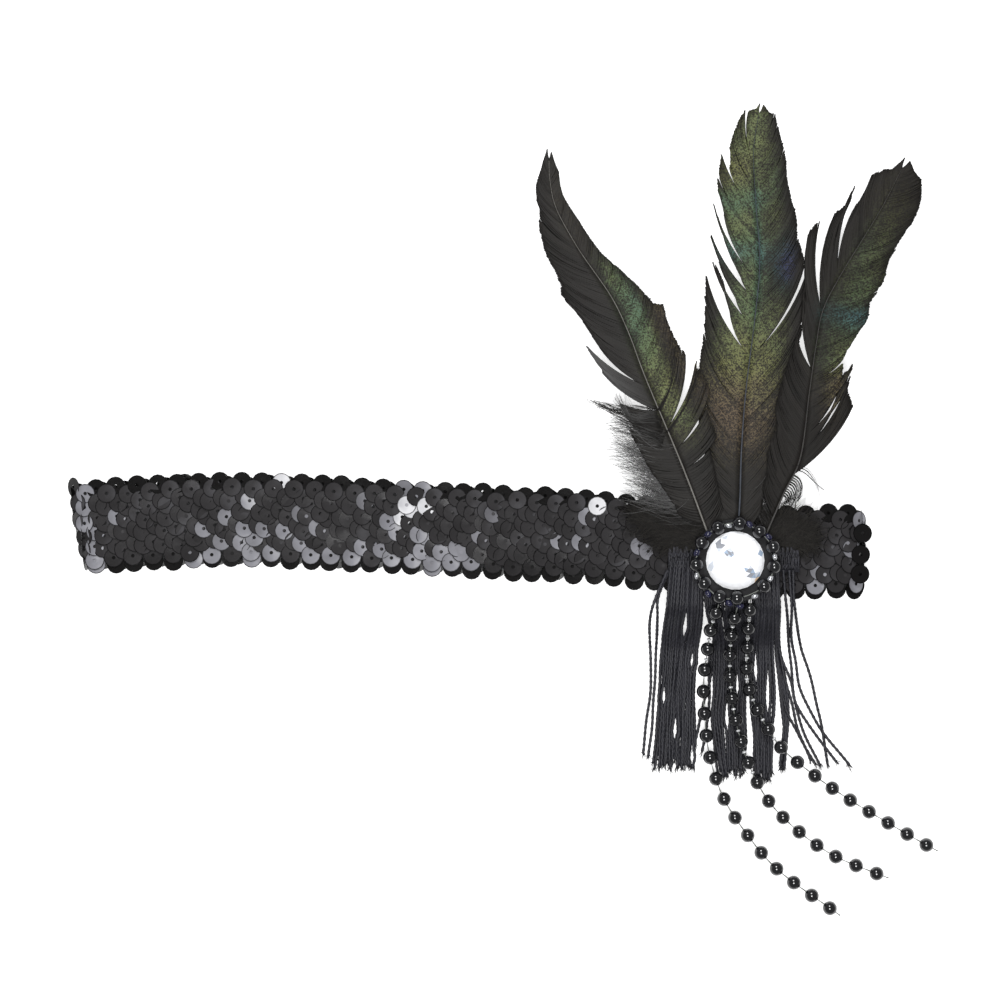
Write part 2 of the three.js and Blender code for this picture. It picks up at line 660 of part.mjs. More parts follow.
// The ring of beads on its thread, round the stone.
function makeRing() {
  const rings = RING_BEADS.flatMap((bead) => {
    const { middle, direction } = ringBead(bead);
    return beadRings(middle, direction, RING_THREAD);
  });
  return piece("bead_ring", skin(rings, true), BLACK_BEAD);
}

// A string of beads on its thread, tied just outside the ring.
function makeString({ name, turn, under, lead, beads, points }) {
  const angle = THREE.MathUtils.degToRad(turn);
  const stand = SEAT + STRING_THREAD / 2 + (under ? BEAD_RADIUS : RING_THREAD / 2);
  const tied = new THREE.Vector3(Math.cos(angle), Math.sin(angle), 0);
  tied.multiplyScalar(RING_RADIUS + stand).setZ(RING_LEVEL);
  const laid = points.map(({ x, y, z }) => new THREE.Vector3(x * STRING_REACH, y * STRING_REACH, z));
  const route = new THREE.CatmullRomCurve3([tied, ...laid]);
  const routeLength = route.getLength();
  const pitch = BEAD_DIAMETER + BEAD_GAP;
  const rings = [];
  const start = route.getTangentAt(0);
  if (lead > SEAT) rings.push(roundRing(tied, start, STRING_THREAD / 2, THREAD_SIDES));
  let distance = lead + BEAD_RADIUS;
  for (let bead = 0; bead < beads; bead += 1) {
    const at = distance / routeLength;
    rings.push(...beadRings(route.getPointAt(at), route.getTangentAt(at), STRING_THREAD));
    distance += pitch;
  }
  const end = (distance - pitch + BEAD_RADIUS + THREAD_END) / routeLength;
  const last = route.getTangentAt(end);
  rings.push(roundRing(route.getPointAt(end), last, STRING_THREAD / 2, THREAD_SIDES));
  return piece(name, skin(rings), BLACK_BEAD);
}

// Level of the fringe's underside at a distance below the stone's axis.
function fringeLevel(below) {
  const fallen = THREE.MathUtils.clamp((below - BAND_EDGE) / FRINGE_FALL, 0, 1);
  return TRIM_LEVEL * (1 - fallen * fallen * (3 - 2 * fallen));
}

// The fringe: its locks of cord, fused to the heading that they are looped over.
function makeFringe() {
  const heading = new THREE.BoxGeometry(FRINGE_WIDTH, HEADING_HEIGHT, HEADING_WALL);
  heading.translate(0, 0, TRIM_LEVEL + HEADING_WALL / 2);
  const fallSteps = 3;
  const locks = FRINGE_LOCKS.map((lock) => {
    const end = lock.end * FRINGE_REACH;
    const belows = [0, BAND_EDGE];
    for (let i = 1; i <= fallSteps; i += 1) belows.push(BAND_EDGE + (FRINGE_FALL * i) / fallSteps);
    belows.push((belows.at(-1) + end) / 2, end);
    const across = [
      { along: 0, x: lock.head },
      { along: 0.5, x: lock.middle },
      { along: 1, x: lock.tip },
    ];
    const rings = belows.map((below) => {
      const x = FRINGE_WIDTH * smooth(across, "x", below / end);
      const wall = THREE.MathUtils.lerp(HEADING_WALL, FRINGE_WALL, Math.min(below / BAND_EDGE, 1));
      const middle = new THREE.Vector3(x, -below, fringeLevel(below));
      return crossRing(middle, new THREE.Vector3(0, -1, 0), lock.wide * FRINGE_WIDTH, wall);
    });
    return skin(rings);
  });
  return piece("fringe", join([heading, ...locks]), BLACK_CORD);
}

// The tuft of down: locks that spread from a head sewn just above the fringe's heading.
function makeDown() {
  const rise = HEADING_HEIGHT / 2 + SEAT + DOWN_HEAD_HEIGHT / 2;
  const headRise = Math.max(rise, (DOWN_REACH * DOWN_LOCKS[0].wide) / 2 + HEADING_HEIGHT / 2 + SEAT);
  const head = new THREE.BoxGeometry(DOWN_HEAD_WIDTH, DOWN_HEAD_HEIGHT, DOWN_WALL);
  head.translate(0, headRise, TRIM_LEVEL + DOWN_WALL / 2);
  const outline = [
    { share: 0, wide: 0.5, wall: 1 },
    { share: 0.45, wide: 1, wall: 1 },
    { share: 0.8, wide: 0.75, wall: 0.9 },
    { share: 1, wide: 0.2, wall: 0.6 },
  ];
  const locks = DOWN_LOCKS.map(({ turn, reach, wide }) => {
    const angle = THREE.MathUtils.degToRad(turn);
    const heading = new THREE.Vector3(Math.cos(angle), Math.sin(angle), 0);
    const rings = outline.map((row) => {
      const middle = heading.clone().multiplyScalar(row.share * reach * DOWN_REACH);
      middle.y += headRise;
      middle.z = TRIM_LEVEL;
      return crossRing(middle, heading, row.wide * wide * DOWN_REACH, row.wall * DOWN_WALL);
    });
    return skin(rings);
  });
  return piece("down_tuft", join([head, ...locks]), BLACK_DOWN);
}

// A feather: a tapered quill with a thin vane on each side, broken into locks.
function makeFeather({ name, length, root, heights, line, left, right }) {
  const rootX = root * FELT_RADIUS;
  const plan = line.map(({ x, y }) => new THREE.Vector3(rootX + x * length, y * length, 0));
  const curve = new THREE.CatmullRomCurve3(plan);
  const level = (along) => QUILL_LEVEL + FEATHER_ARCH * smooth(heights, "lift", Math.min(along, 1));
  const onQuill = (along) => curve.getPointAt(Math.min(along, 1)).setZ(level(along));

  const rod = [];
  const rodEnd = 0.98;
  for (let i = 0; i <= QUILL_STEPS; i += 1) {
    const along = (rodEnd * i) / QUILL_STEPS;
    const radius = (QUILL_DIAMETER / 2) * THREE.MathUtils.lerp(1, QUILL_TIP, along);
    rod.push(roundRing(onQuill(along), curve.getTangentAt(along), radius, QUILL_SIDES));
  }

  // Points of a rib, from just past the quill's middle line out to the rim, at the vane's underside.
  const ribPoints = ({ along, reach, angle }, side) => {
    const tangent = curve.getTangentAt(along);
    const span = reach * VANE_WIDTH;
    const aim = (degrees) =>
      tangent.clone().applyAxisAngle(new THREE.Vector3(0, 0, 1), side * THREE.MathUtils.degToRad(degrees));
    const start = onQuill(along).addScaledVector(aim(angle), -0.15 * QUILL_DIAMETER);
    const bend = start.clone().addScaledVector(aim(angle + VANE_CURL), 0.55 * span);
    const rim = start.clone().addScaledVector(aim(angle), span);
    const barb = new THREE.QuadraticBezierCurve3(start, bend, rim);
    return [0, 0.5, 1].map((t) => {
      const point = barb.getPoint(t);
      const forward = (t * span * Math.cos(THREE.MathUtils.degToRad(angle))) / length;
      const out = (t * reach) ** 2;
      return point.setZ(level(along + forward) - VANE_CAMBER * Math.min(out, 1) - VANE_WALL / 2);
    });
  };
  const vaneLocks = (ribs, side) => {
    const numbers = [...new Set(ribs.map((rib) => rib.lock))];
    return numbers.map((number) => {
      const rings = ribs.filter((rib) => rib.lock === number).map((rib) => {
        const under = ribPoints(rib, side);
        const over = under.map((p) => p.clone().setZ(p.z + VANE_WALL)).reverse();
        return [...under, ...over];
      });
      return skin(rings);
    });
  };
  const look = name === "feather_middle" ? GREEN_FEATHER : DARK_FEATHER;
  return piece(name, join([skin(rod), ...vaneLocks(left, 1), ...vaneLocks(right, -1)]), look);
}

const headband = new THREE.Group();
headband.add(makeElastic(), makeSequinCoat());
headband.add(makeFringe(), makeDown());
for (const feather of FEATHERS) headband.add(makeFeather(feather));
headband.add(makeFelt(), makeRing(), makeStone());
for (const string of STRINGS) headband.add(makeString(string));

export default headband;
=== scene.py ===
import logging
import math
from collections.abc import Callable
from dataclasses import dataclass, field
from enum import Enum
from typing import NamedTuple

import bpy
import numpy as np
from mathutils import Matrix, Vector


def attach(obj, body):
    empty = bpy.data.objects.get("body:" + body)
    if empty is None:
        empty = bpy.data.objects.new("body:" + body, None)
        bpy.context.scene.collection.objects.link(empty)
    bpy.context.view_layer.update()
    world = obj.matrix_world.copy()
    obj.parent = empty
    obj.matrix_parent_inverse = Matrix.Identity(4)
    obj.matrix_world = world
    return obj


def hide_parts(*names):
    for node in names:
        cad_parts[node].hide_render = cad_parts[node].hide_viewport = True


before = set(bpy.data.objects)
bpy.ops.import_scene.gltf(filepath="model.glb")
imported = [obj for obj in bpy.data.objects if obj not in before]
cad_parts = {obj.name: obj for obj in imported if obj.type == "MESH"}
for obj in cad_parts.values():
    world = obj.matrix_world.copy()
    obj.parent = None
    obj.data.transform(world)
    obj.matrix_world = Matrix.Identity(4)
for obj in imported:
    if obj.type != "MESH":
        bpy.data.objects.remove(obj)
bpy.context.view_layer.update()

MM = 0.001
UP = np.array([0.0, 0.0, 1.0])
LOG = logging.getLogger("headband")


# Sizes that several pieces share, in millimetres, as in the solids.
SEAT = 0.3
ELASTIC_WALL = 1.0
SEQUIN_WALL = 1.1
LOOP_CLEARANCE = 4.8
BAND_WIDTH = 29.0
BAND_EDGE = 12.8
HEADING_WALL = 1.2
QUILL_DIAMETER = 1.6
BEAD_DIAMETER = 4.4
STONE_DIAMETER = 18.0
BAND_TOP = 2 * (ELASTIC_WALL + SEAT + SEQUIN_WALL) + LOOP_CLEARANCE
TRIM_LEVEL = BAND_TOP + SEAT
QUILL_LEVEL = TRIM_LEVEL + HEADING_WALL + SEAT + QUILL_DIAMETER / 2
FELT_LEVEL = QUILL_LEVEL + QUILL_DIAMETER / 2 + SEAT
FELT_WALL = 1.0
STONE_LEVEL = FELT_LEVEL + FELT_WALL + SEAT
RING_LEVEL = STONE_LEVEL + BEAD_DIAMETER / 2
RING_GAP = 0.4
RING_RADIUS = STONE_DIAMETER / 2 + RING_GAP + BEAD_DIAMETER / 2
FLOOR_BEAD = BEAD_DIAMETER / 2
FRINGE_WALL = 1.8
FRINGE_BEAD = FRINGE_WALL + SEAT + BEAD_DIAMETER / 2
FACES_UP = 0.2


class Slot(Enum):
    """The record's material slots."""

    ELASTIC = "black_elastic"
    SEQUINS = "black_sequins"
    CORD = "black_cord"
    DOWN = "black_down"
    FEATHER = "feather"
    FELT = "black_felt"
    BEADS = "black_beads"
    STONE = "clear_stone"


class Side(Enum):
    """The two vanes of a feather, by the way that they turn from the quill."""

    LEFT = 1
    RIGHT = -1


# Helpers for modelling.


def unit(vectors: np.ndarray) -> np.ndarray:
    """Returns the vectors, scaled to a length of one."""
    return vectors / np.maximum(np.linalg.norm(vectors, axis=-1, keepdims=True), 1e-12)


def strands(
    paths: np.ndarray, radii: np.ndarray, profile: np.ndarray, turns: np.ndarray | None = None
) -> tuple[np.ndarray, list[list[int]]]:
    """Sweeps one profile along many paths of as many points each.

    Args:
        paths: the middle lines, as strand, point, axis.
        radii: what the profile is scaled by, as strand, point.
        profile: corners of the cross section, anticlockwise, as corner, (across, up).
        turns: how far the profile is turned at each point, in radians.

    Returns:
        The points, strand by strand and ring by ring, and the faces between them.
    """
    count, steps, _ = paths.shape
    corners = len(profile)
    along = unit(np.gradient(paths, axis=1))
    across = unit(np.cross(UP, along) + 1e-9)
    rise = np.cross(along, across)
    x = np.broadcast_to(profile[:, 0], (count, steps, corners))
    y = np.broadcast_to(profile[:, 1], (count, steps, corners))
    if turns is not None:
        cosine, sine = np.cos(turns)[..., None], np.sin(turns)[..., None]
        x, y = x * cosine - y * sine, x * sine + y * cosine
    offsets = x[..., None] * across[:, :, None] + y[..., None] * rise[:, :, None]
    points = paths[:, :, None] + radii[..., None, None] * offsets
    start = (np.arange(count) * steps * corners)[:, None, None]
    ring = (np.arange(steps - 1) * corners)[None, :, None]
    here = np.arange(corners)[None, None, :]
    after = (here + 1) % corners
    quads = np.stack(
        [
            start + ring + here,
            start + ring + after,
            start + ring + corners + after,
            start + ring + corners + here,
        ],
        axis=-1,
    ).reshape(-1, 4)
    first = (np.arange(count) * steps * corners)[:, None]
    caps = np.concatenate(
        [first + np.arange(corners)[::-1], first + (steps - 1) * corners + np.arange(corners)]
    )
    return points.reshape(-1, 3), quads.tolist() + caps.tolist()


def axes_along(along: np.ndarray) -> np.ndarray:
    """Works out the axes of something that is threaded on a line.

    Args:
        along: the line's direction.

    Returns:
        The directions along the line, across it and up from it, as rows.
    """
    across = unit(np.cross(UP, along))
    return np.stack([along, across, np.cross(along, across)])


def round_profile(corners: int) -> np.ndarray:
    """Returns the corners of a round cross section of radius one."""
    turn = 2 * math.pi * np.arange(corners) / corners
    return np.stack([np.cos(turn), np.sin(turn)], axis=-1)


class Route:
    """A smooth curve through chosen points, read by its share of the length."""

    def __init__(self, points: list[tuple[float, ...]], samples: int = 40) -> None:
        """Fits the curve.

        Args:
            points: what it passes through.
            samples: how many places are worked out between two of them.
        """
        p = np.array([(*q, 0.0)[:3] for q in points], dtype=float)
        p = np.vstack([2 * p[0] - p[1], p, 2 * p[-1] - p[-2]])
        t = np.linspace(0, 1, samples, endpoint=False)[:, None]
        pieces = []
        for i in range(1, len(p) - 2):
            gaps = [math.sqrt(np.linalg.norm(p[k + 1] - p[k])) or 1.0 for k in (i - 1, i, i + 1)]
            a, b, c = gaps
            into = (p[i] - p[i - 1]) / a - (p[i + 1] - p[i - 1]) / (a + b) + (p[i + 1] - p[i]) / b
            out = (p[i + 1] - p[i]) / b - (p[i + 2] - p[i]) / (b + c) + (p[i + 2] - p[i + 1]) / c
            into, out = into * b, out * b
            cubic = 2 * p[i] - 2 * p[i + 1] + into + out
            square = -3 * p[i] + 3 * p[i + 1] - 2 * into - out
            pieces.append(p[i] + into * t + square * t**2 + cubic * t**3)
        self.line = np.vstack([*pieces, p[-2]])
        steps = np.linalg.norm(np.diff(self.line, axis=0), axis=1)
        self.way = np.concatenate([[0.0], np.cumsum(steps)])
        self.length = float(self.way[-1])

    def at(self, share: np.ndarray | float) -> np.ndarray:
        """Returns the places at these shares of the length."""
        way = np.clip(share, 0, 1) * self.length
        return np.stack([np.interp(way, self.way, self.line[:, k]) for k in range(3)], axis=-1)

    def heading(self, share: np.ndarray | float) -> np.ndarray:
        """Returns the direction of the curve at these shares of the length."""
        share = np.asarray(share, dtype=float)
        return unit(self.at(np.minimum(share + 0.004, 1)) - self.at(np.maximum(share - 0.004, 0)))


class Table:
    """A column of values against a share, read on a smooth curve through them."""

    def __init__(self, rows: list[tuple[float, float]]) -> None:
        """Works out the slope at each row.

        Args:
            rows: shares, each with its value.
        """
        self.at_rows = np.array([row[0] for row in rows])
        self.values = np.array([row[1] for row in rows])
        before = np.maximum(np.arange(len(rows)) - 1, 0)
        after = np.minimum(np.arange(len(rows)) + 1, len(rows) - 1)
        rise = self.values[after] - self.values[before]
        self.slopes = rise / (self.at_rows[after] - self.at_rows[before])

    def at(self, share: np.ndarray | float) -> np.ndarray:
        """Reads the table.

        Args:
            share: where.

        Returns:
            The values there.
        """
        share = np.clip(share, self.at_rows[0], self.at_rows[-1])
        i = np.clip(np.searchsorted(self.at_rows, share) - 1, 0, len(self.at_rows) - 2)
        span = self.at_rows[i + 1] - self.at_rows[i]
        t = (share - self.at_rows[i]) / span
        pull = t * (1 - t)
        near = pull * (1 - t) * span * self.slopes[i]
        far = pull * t * span * self.slopes[i + 1]
        blend = t * t * (3 - 2 * t)
        return (1 - blend) * self.values[i] + blend * self.values[i + 1] + near - far


@dataclass
class MeshStock:
    """Points and faces gathered for one piece, with the values that its points carry."""

    points: list[np.ndarray] = field(default_factory=list)
    faces: list[list[int]] = field(default_factory=list)
    carried: dict[str, list[np.ndarray]] = field(default_factory=dict)
    count: int = 0

    def add(self, points: np.ndarray, faces: list[list[int]], **carried: np.ndarray | float) -> None:
        """Adds one shape.

        Args:
            points: its points in millimetres.
            faces: its faces, as indices into those points.
            carried: values for its points, or one value for all of them.
        """
        self.points.append(points)
        base = self.count
        self.faces.extend([[base + i for i in face] for face in faces])
        self.count += len(points)
        for name, value in carried.items():
            shape = (len(points), 2) if name == "uv" else (len(points),)
            self.carried.setdefault(name, []).append(np.broadcast_to(value, shape))

    def piece(self, name: str, material: bpy.types.Material, smooth: bool = True) -> bpy.types.Object:
        """Makes the piece's object.

        Args:
            name: the piece's name.
            material: its finish.
            smooth: whether its faces are shaded smooth.

        Returns:
            The object, at the origin.
        """
        mesh = bpy.data.meshes.new(name)
        mesh.from_pydata((np.vstack(self.points) * MM).tolist(), [], self.faces)
        corners = np.empty(len(mesh.loops), dtype=np.int32)
        mesh.loops.foreach_get("vertex_index", corners)
        for key, values in self.carried.items():
            flat = np.concatenate(values)
            if key == "uv":
                layer = mesh.uv_layers.new(name="UVMap")
                layer.uv.foreach_set("vector", flat[corners].astype(np.float32).ravel())
            else:
                layer = mesh.attributes.new(key, "FLOAT", "POINT")
                layer.data.foreach_set("value", flat.astype(np.float32))
        mesh.polygons.foreach_set("use_smooth", [smooth] * len(mesh.polygons))
        mesh.update()
        made = bpy.data.objects.new(name, mesh)
        bpy.context.collection.objects.link(made)
        made.data.materials.append(material)
        return made


def finish_piece(piece: bpy.types.Object, slot: Slot, *nodes: str) -> None:
    """Puts a piece on the body in place of its nodes, and reports it.

    Args:
        piece: the finished piece.
        slot: the record's slot that it takes its finish from; not used.
        nodes: the solids that it stands for.
    """
    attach(piece, "root")
    if nodes:
        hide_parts(*nodes)
    LOG.info("%s: %d faces, for %s", piece.name, len(piece.data.polygons), nodes or "no solid")


class Bench:
    """Where single shapes are modelled one by one, with Blender's own operators."""

    @staticmethod
    def clear() -> None:
        """Deselects everything."""
        bpy.ops.object.select_all(action="DESELECT")

    @staticmethod
    def select(keep: Callable[[Vector], bool]) -> None:
        """Selects the active object's vertices that pass a test, from object mode.

        Args:
            keep: the test, given a vertex's place.
        """
        mesh = bpy.context.object.data
        for face in mesh.polygons:
            face.select = False
        for edge in mesh.edges:
            edge.select = False
        for vertex in mesh.vertices:
            vertex.select = bool(keep(vertex.co))

    @staticmethod
    def lift() -> tuple[np.ndarray, list[list[int]]]:
        """Takes the active object's mesh off the bench.

        Returns:
            Its points, in the units they were modelled in, and its faces.
        """
        made = bpy.context.object
        mesh = made.data
        place = made.matrix_world
        points = np.array([tuple(place @ v.co) for v in mesh.vertices])
        faces = [list(face.vertices) for face in mesh.polygons]
        bpy.data.objects.remove(made)
        bpy.data.meshes.remove(mesh)
        return points, faces

    @classmethod
    def sequin(cls, diameter: float, hole: float, cup: float, wall: float) -> tuple[np.ndarray, list]:
        """Models a cupped sequin with a hole, open side up.

        Args:
            diameter: over its rim.
            hole: the hole's diameter.
            cup: how far its rim stands above its middle.
            wall: its thickness.

        Returns:
            Its points and faces.
        """
        cls.clear()
        bpy.ops.mesh.primitive_circle_add(vertices=16, radius=diameter / 2, location=(0, 0, cup))
        bpy.ops.object.mode_set(mode="EDIT")
        bpy.ops.mesh.select_all(action="SELECT")
        bpy.ops.mesh.extrude_edges_move()
        inward = hole / diameter
        bpy.ops.transform.resize(value=(inward, inward, 1), center_override=(0, 0, cup))
        bpy.ops.transform.translate(value=(0, 0, -cup))
        bpy.ops.mesh.select_all(action="SELECT")
        bpy.ops.mesh.normals_make_consistent(inside=False)
        bpy.ops.object.mode_set(mode="OBJECT")
        thick = bpy.context.object.modifiers.new("wall", "SOLIDIFY")
        thick.thickness = wall
        thick.offset = -1
        bpy.ops.object.modifier_apply(modifier="wall")
        return cls.lift()

    @classmethod
    def bead(cls, diameter: float, hole: float, segments: int, rows: int) -> tuple[np.ndarray, list]:
        """Models a round bead with a hole through it along X.

        Args:
            diameter: of the bead.
            hole: the hole's diameter.
            segments: its faces round the hole.
            rows: its faces from one hole to the other.

        Returns:
            Its points and faces.
        """
        cls.clear()
        bpy.ops.mesh.primitive_uv_sphere_add(
            segments=segments, ring_count=rows, radius=diameter / 2, rotation=(0, math.pi / 2, 0)
        )
        bpy.ops.object.transform_apply(location=False, rotation=True, scale=False)
        cls.select(lambda co: abs(co.x) > 0.4999 * diameter)
        bpy.ops.object.mode_set(mode="EDIT")
        bpy.ops.mesh.delete(type="VERT")
        bpy.ops.object.mode_set(mode="OBJECT")
        rim = max(v.co.x for v in bpy.context.object.data.vertices)
        cls.select(lambda co: abs(co.x) > rim - 1e-4)
        bpy.ops.object.mode_set(mode="EDIT")
        reach = math.sqrt(max((diameter / 2) ** 2 - rim**2, 1e-6))
        shrink = hole / 2 / reach
        bpy.ops.mesh.extrude_edges_move()
        bpy.ops.transform.resize(value=(1, shrink, shrink), center_override=(0, 0, 0))
        bpy.ops.mesh.bridge_edge_loops()
        bpy.ops.mesh.select_all(action="SELECT")
        bpy.ops.mesh.normals_make_consistent(inside=False)
        bpy.ops.object.mode_set(mode="OBJECT")
        return cls.lift()


# Finishes.


class Recipe:
    """A material's nodes, added and joined by short calls."""

    def __init__(self, name: str) -> None:
        """Starts a material of that name with its one shader."""
        self.material = bpy.data.materials.new(name)
        self.material.use_nodes = True
        self.tree = self.material.node_tree
        self.shader = self.tree.nodes["Principled BSDF"]

    def put(self, socket: bpy.types.NodeSocket, value: object) -> None:
        """Joins a socket to another one, or sets its value.

        Args:
            socket: an input.
            value: an output, or what the input is set to.
        """
        if isinstance(value, bpy.types.NodeSocket):
            self.tree.links.new(value, socket)
        else:
            socket.default_value = value

    def set(self, **values: object) -> None:
        """Sets the shader's sockets, by name with low lines for spaces."""
        for key, value in values.items():
            self.put(self.shader.inputs[key.replace("_", " ")], value)

    def node(self, kind: str, **inputs: object) -> bpy.types.Node:
        """Adds a node.

        Args:
            kind: its type, without the prefix.
            inputs: values or sockets for its inputs, by name.

        Returns:
            The node.
        """
        made = self.tree.nodes.new("ShaderNode" + kind)
        for key, value in inputs.items():
            self.put(made.inputs[key.replace("_", " ")], value)
        return made

    def place(self) -> bpy.types.NodeSocket:
        """Returns the socket of the piece's own coordinates."""
        return self.node("TexCoord").outputs["Object"]

    def carried(self, name: str) -> bpy.types.NodeSocket:
        """Returns the socket of a value that the piece's points carry."""
        made = self.node("Attribute")
        made.attribute_name = name
        return made.outputs["Fac"]

    def noise(self, scale: float, detail: float = 2.0, **inputs: object) -> bpy.types.NodeSocket:
        """Returns the socket of a noise over the piece's own coordinates."""
        inputs.setdefault("Vector", self.place())
        return self.node("TexNoise", Scale=scale, Detail=detail, **inputs).outputs["Fac"]

    def sum(self, kind: str, a: object, b: object) -> bpy.types.NodeSocket:
        """Works out a sum of two values.

        Args:
            kind: the sum, such as ADD or MULTIPLY.
            a: the first value or socket.
            b: the second.

        Returns:
            The socket of the result.
        """
        made = self.node("Math")
        made.operation = kind
        self.put(made.inputs[0], a)
        self.put(made.inputs[1], b)
        return made.outputs[0]

    def spread(self, value: object, low: float, high: float, a: float, b: float) -> bpy.types.NodeSocket:
        """Takes a value from one range to another.

        Args:
            value: the value's socket.
            low: where its own range starts.
            high: where its own range ends.
            a: where the new range starts.
            b: where the new range ends.

        Returns:
            The socket of the result.
        """
        made = self.node("MapRange", From_Min=low, From_Max=high, To_Min=a, To_Max=b)
        self.put(made.inputs["Value"], value)
        return made.outputs["Result"]

    def ramp(self, factor: object, stops: list[tuple[float, tuple]]) -> bpy.types.NodeSocket:
        """Reads a colour from a row of stops.

        Args:
            factor: the socket that it is read by.
            stops: the places and their colours, in order.

        Returns:
            The colour's socket.
        """
        made = self.node("ValToRGB")
        band = made.color_ramp
        for place, _ in stops[1:-1]:
            band.elements.new(place)
        for element, (place, colour) in zip(band.elements, stops):
            element.position = place
            element.color = (*colour, 1.0)
        self.put(made.inputs["Fac"], factor)
        return made.outputs["Color"]

    def mix(self, factor: object, a: object, b: object) -> bpy.types.NodeSocket:
        """Mixes two colours.

        Args:
            factor: the share of the second.
            a: the first colour or socket.
            b: the second.

        Returns:
            The colour's socket.
        """
        made = self.node("Mix")
        made.data_type = "RGBA"
        self.put(made.inputs[0], factor)
        for socket, value in ((made.inputs[6], a), (made.inputs[7], b)):
            self.put(socket, (*value, 1.0) if isinstance(value, tuple) else value)
        return made.outputs[2]

    def bump(self, height: object, strength: float, distance: float) -> None:
        """Roughens the shader's surface by a height."""
        made = self.node("Bump", Height=height, Strength=strength, Distance=distance)
        self.put(self.shader.inputs["Normal"], made.outputs["Normal"])


@dataclass(frozen=True)
class SequinFinish:
    """Black plastic foil, with painted lamp glints in grey or silver on single sequins, and painted shade
    darkening each rim.
    """

    black: tuple = (0.003, 0.0028, 0.0026)
    charcoal: tuple = (0.034, 0.0325, 0.034)
    # grey and silver are painted lamp glints; black and charcoal are the foil's own colours.
    grey: tuple = (0.25, 0.25, 0.275)
    silver: tuple = (0.72, 0.72, 0.74)
    roughness: float = 0.2

    def material(self) -> bpy.types.Material:
        """Builds the finish.

        Returns:
            The material.
        """
        recipe = Recipe("sequin_foil")
        # Painted shade: each sequin's rim is darkened to near black, standing for the shadow line where the
        # sequins overlap.
        edge = recipe.spread(recipe.carried("rim"), 0.88, 0.96, 0.0, 0.95)
        drift = recipe.spread(recipe.noise(160.0, 2.0), 0.3, 0.7, 0.85, 1.15)
        tone = recipe.sum("MULTIPLY", recipe.carried("tone"), drift)
        shades = [(0.0, self.black), (0.2, self.charcoal), (0.6, self.grey), (1.0, self.silver)]
        face = recipe.ramp(tone, shades)
        grain = recipe.noise(2500.0)
        recipe.set(
            Base_Color=recipe.mix(edge, face, (0.002, 0.002, 0.002)),
            Roughness=recipe.spread(grain, 0.3, 0.7, self.roughness - 0.04, self.roughness + 0.06),
            Specular_IOR_Level=0.13,
        )
        recipe.bump(recipe.noise(420.0), 0.05, 0.0004)
        return recipe.material


@dataclass(frozen=True)
class ElasticFinish:
    """Black elastic web with ribs along it and a fine weave across."""

    black: tuple = (0.010, 0.010, 0.011)
    worn: tuple = (0.028, 0.028, 0.030)

    def material(self) -> bpy.types.Material:
        """Builds the finish.

        Returns:
            The material.
        """
        recipe = Recipe("elastic_web")
        split = recipe.node("SeparateXYZ", Vector=recipe.node("UVMap").outputs["UV"])
        ribs = recipe.sum("SINE", recipe.sum("MULTIPLY", split.outputs["Y"], 120.0), 0.0)
        picks = recipe.sum("SINE", recipe.sum("MULTIPLY", split.outputs["X"], 2600.0), 0.0)
        weave = recipe.sum("ADD", ribs, recipe.sum("MULTIPLY", picks, 0.6))
        fuzz = recipe.noise(1500.0, 4.0)
        recipe.set(Base_Color=recipe.mix(fuzz, self.black, self.worn), Roughness=0.85)
        recipe.shader.inputs["Sheen Weight"].default_value = 0.15
        recipe.bump(weave, 0.5, 0.00015)
        return recipe.material


@dataclass(frozen=True)
class CordFinish:
    """Twisted rayon cord: near black, with a soft silky shine."""

    name: str = "rayon_cord"
    dark: tuple = (0.006, 0.006, 0.008)
    light: tuple = (0.030, 0.030, 0.039)
    roughness: float = 0.55

    def material(self) -> bpy.types.Material:
        """Builds the finish.

        Returns:
            The material.
        """
        recipe = Recipe(self.name)
        fibre = recipe.noise(2400.0, 3.0)
        shade = recipe.sum("ADD", recipe.carried("tone"), recipe.spread(fibre, 0.35, 0.65, -0.4, 0.4))
        recipe.set(
            Base_Color=recipe.mix(recipe.spread(shade, 0.0, 1.0, 0.0, 1.0), self.dark, self.light),
            Roughness=self.roughness,
        )
        recipe.bump(fibre, 0.4, 0.0001)
        return recipe.material


@dataclass(frozen=True)
class DownFinish:
    """Fluffy brown-black down."""

    dark: tuple = (0.008, 0.007, 0.006)
    light: tuple = (0.030, 0.027, 0.023)

    def material(self) -> bpy.types.Material:
        """Builds the finish.

        Returns:
            The material.
        """
        recipe = Recipe("black_down")
        recipe.set(
            Base_Color=recipe.mix(recipe.carried("tone"), self.dark, self.light),
            Roughness=0.85,
        )
        recipe.bump(recipe.noise(2600.0, 3.0), 0.3, 0.0001)
        return recipe.material


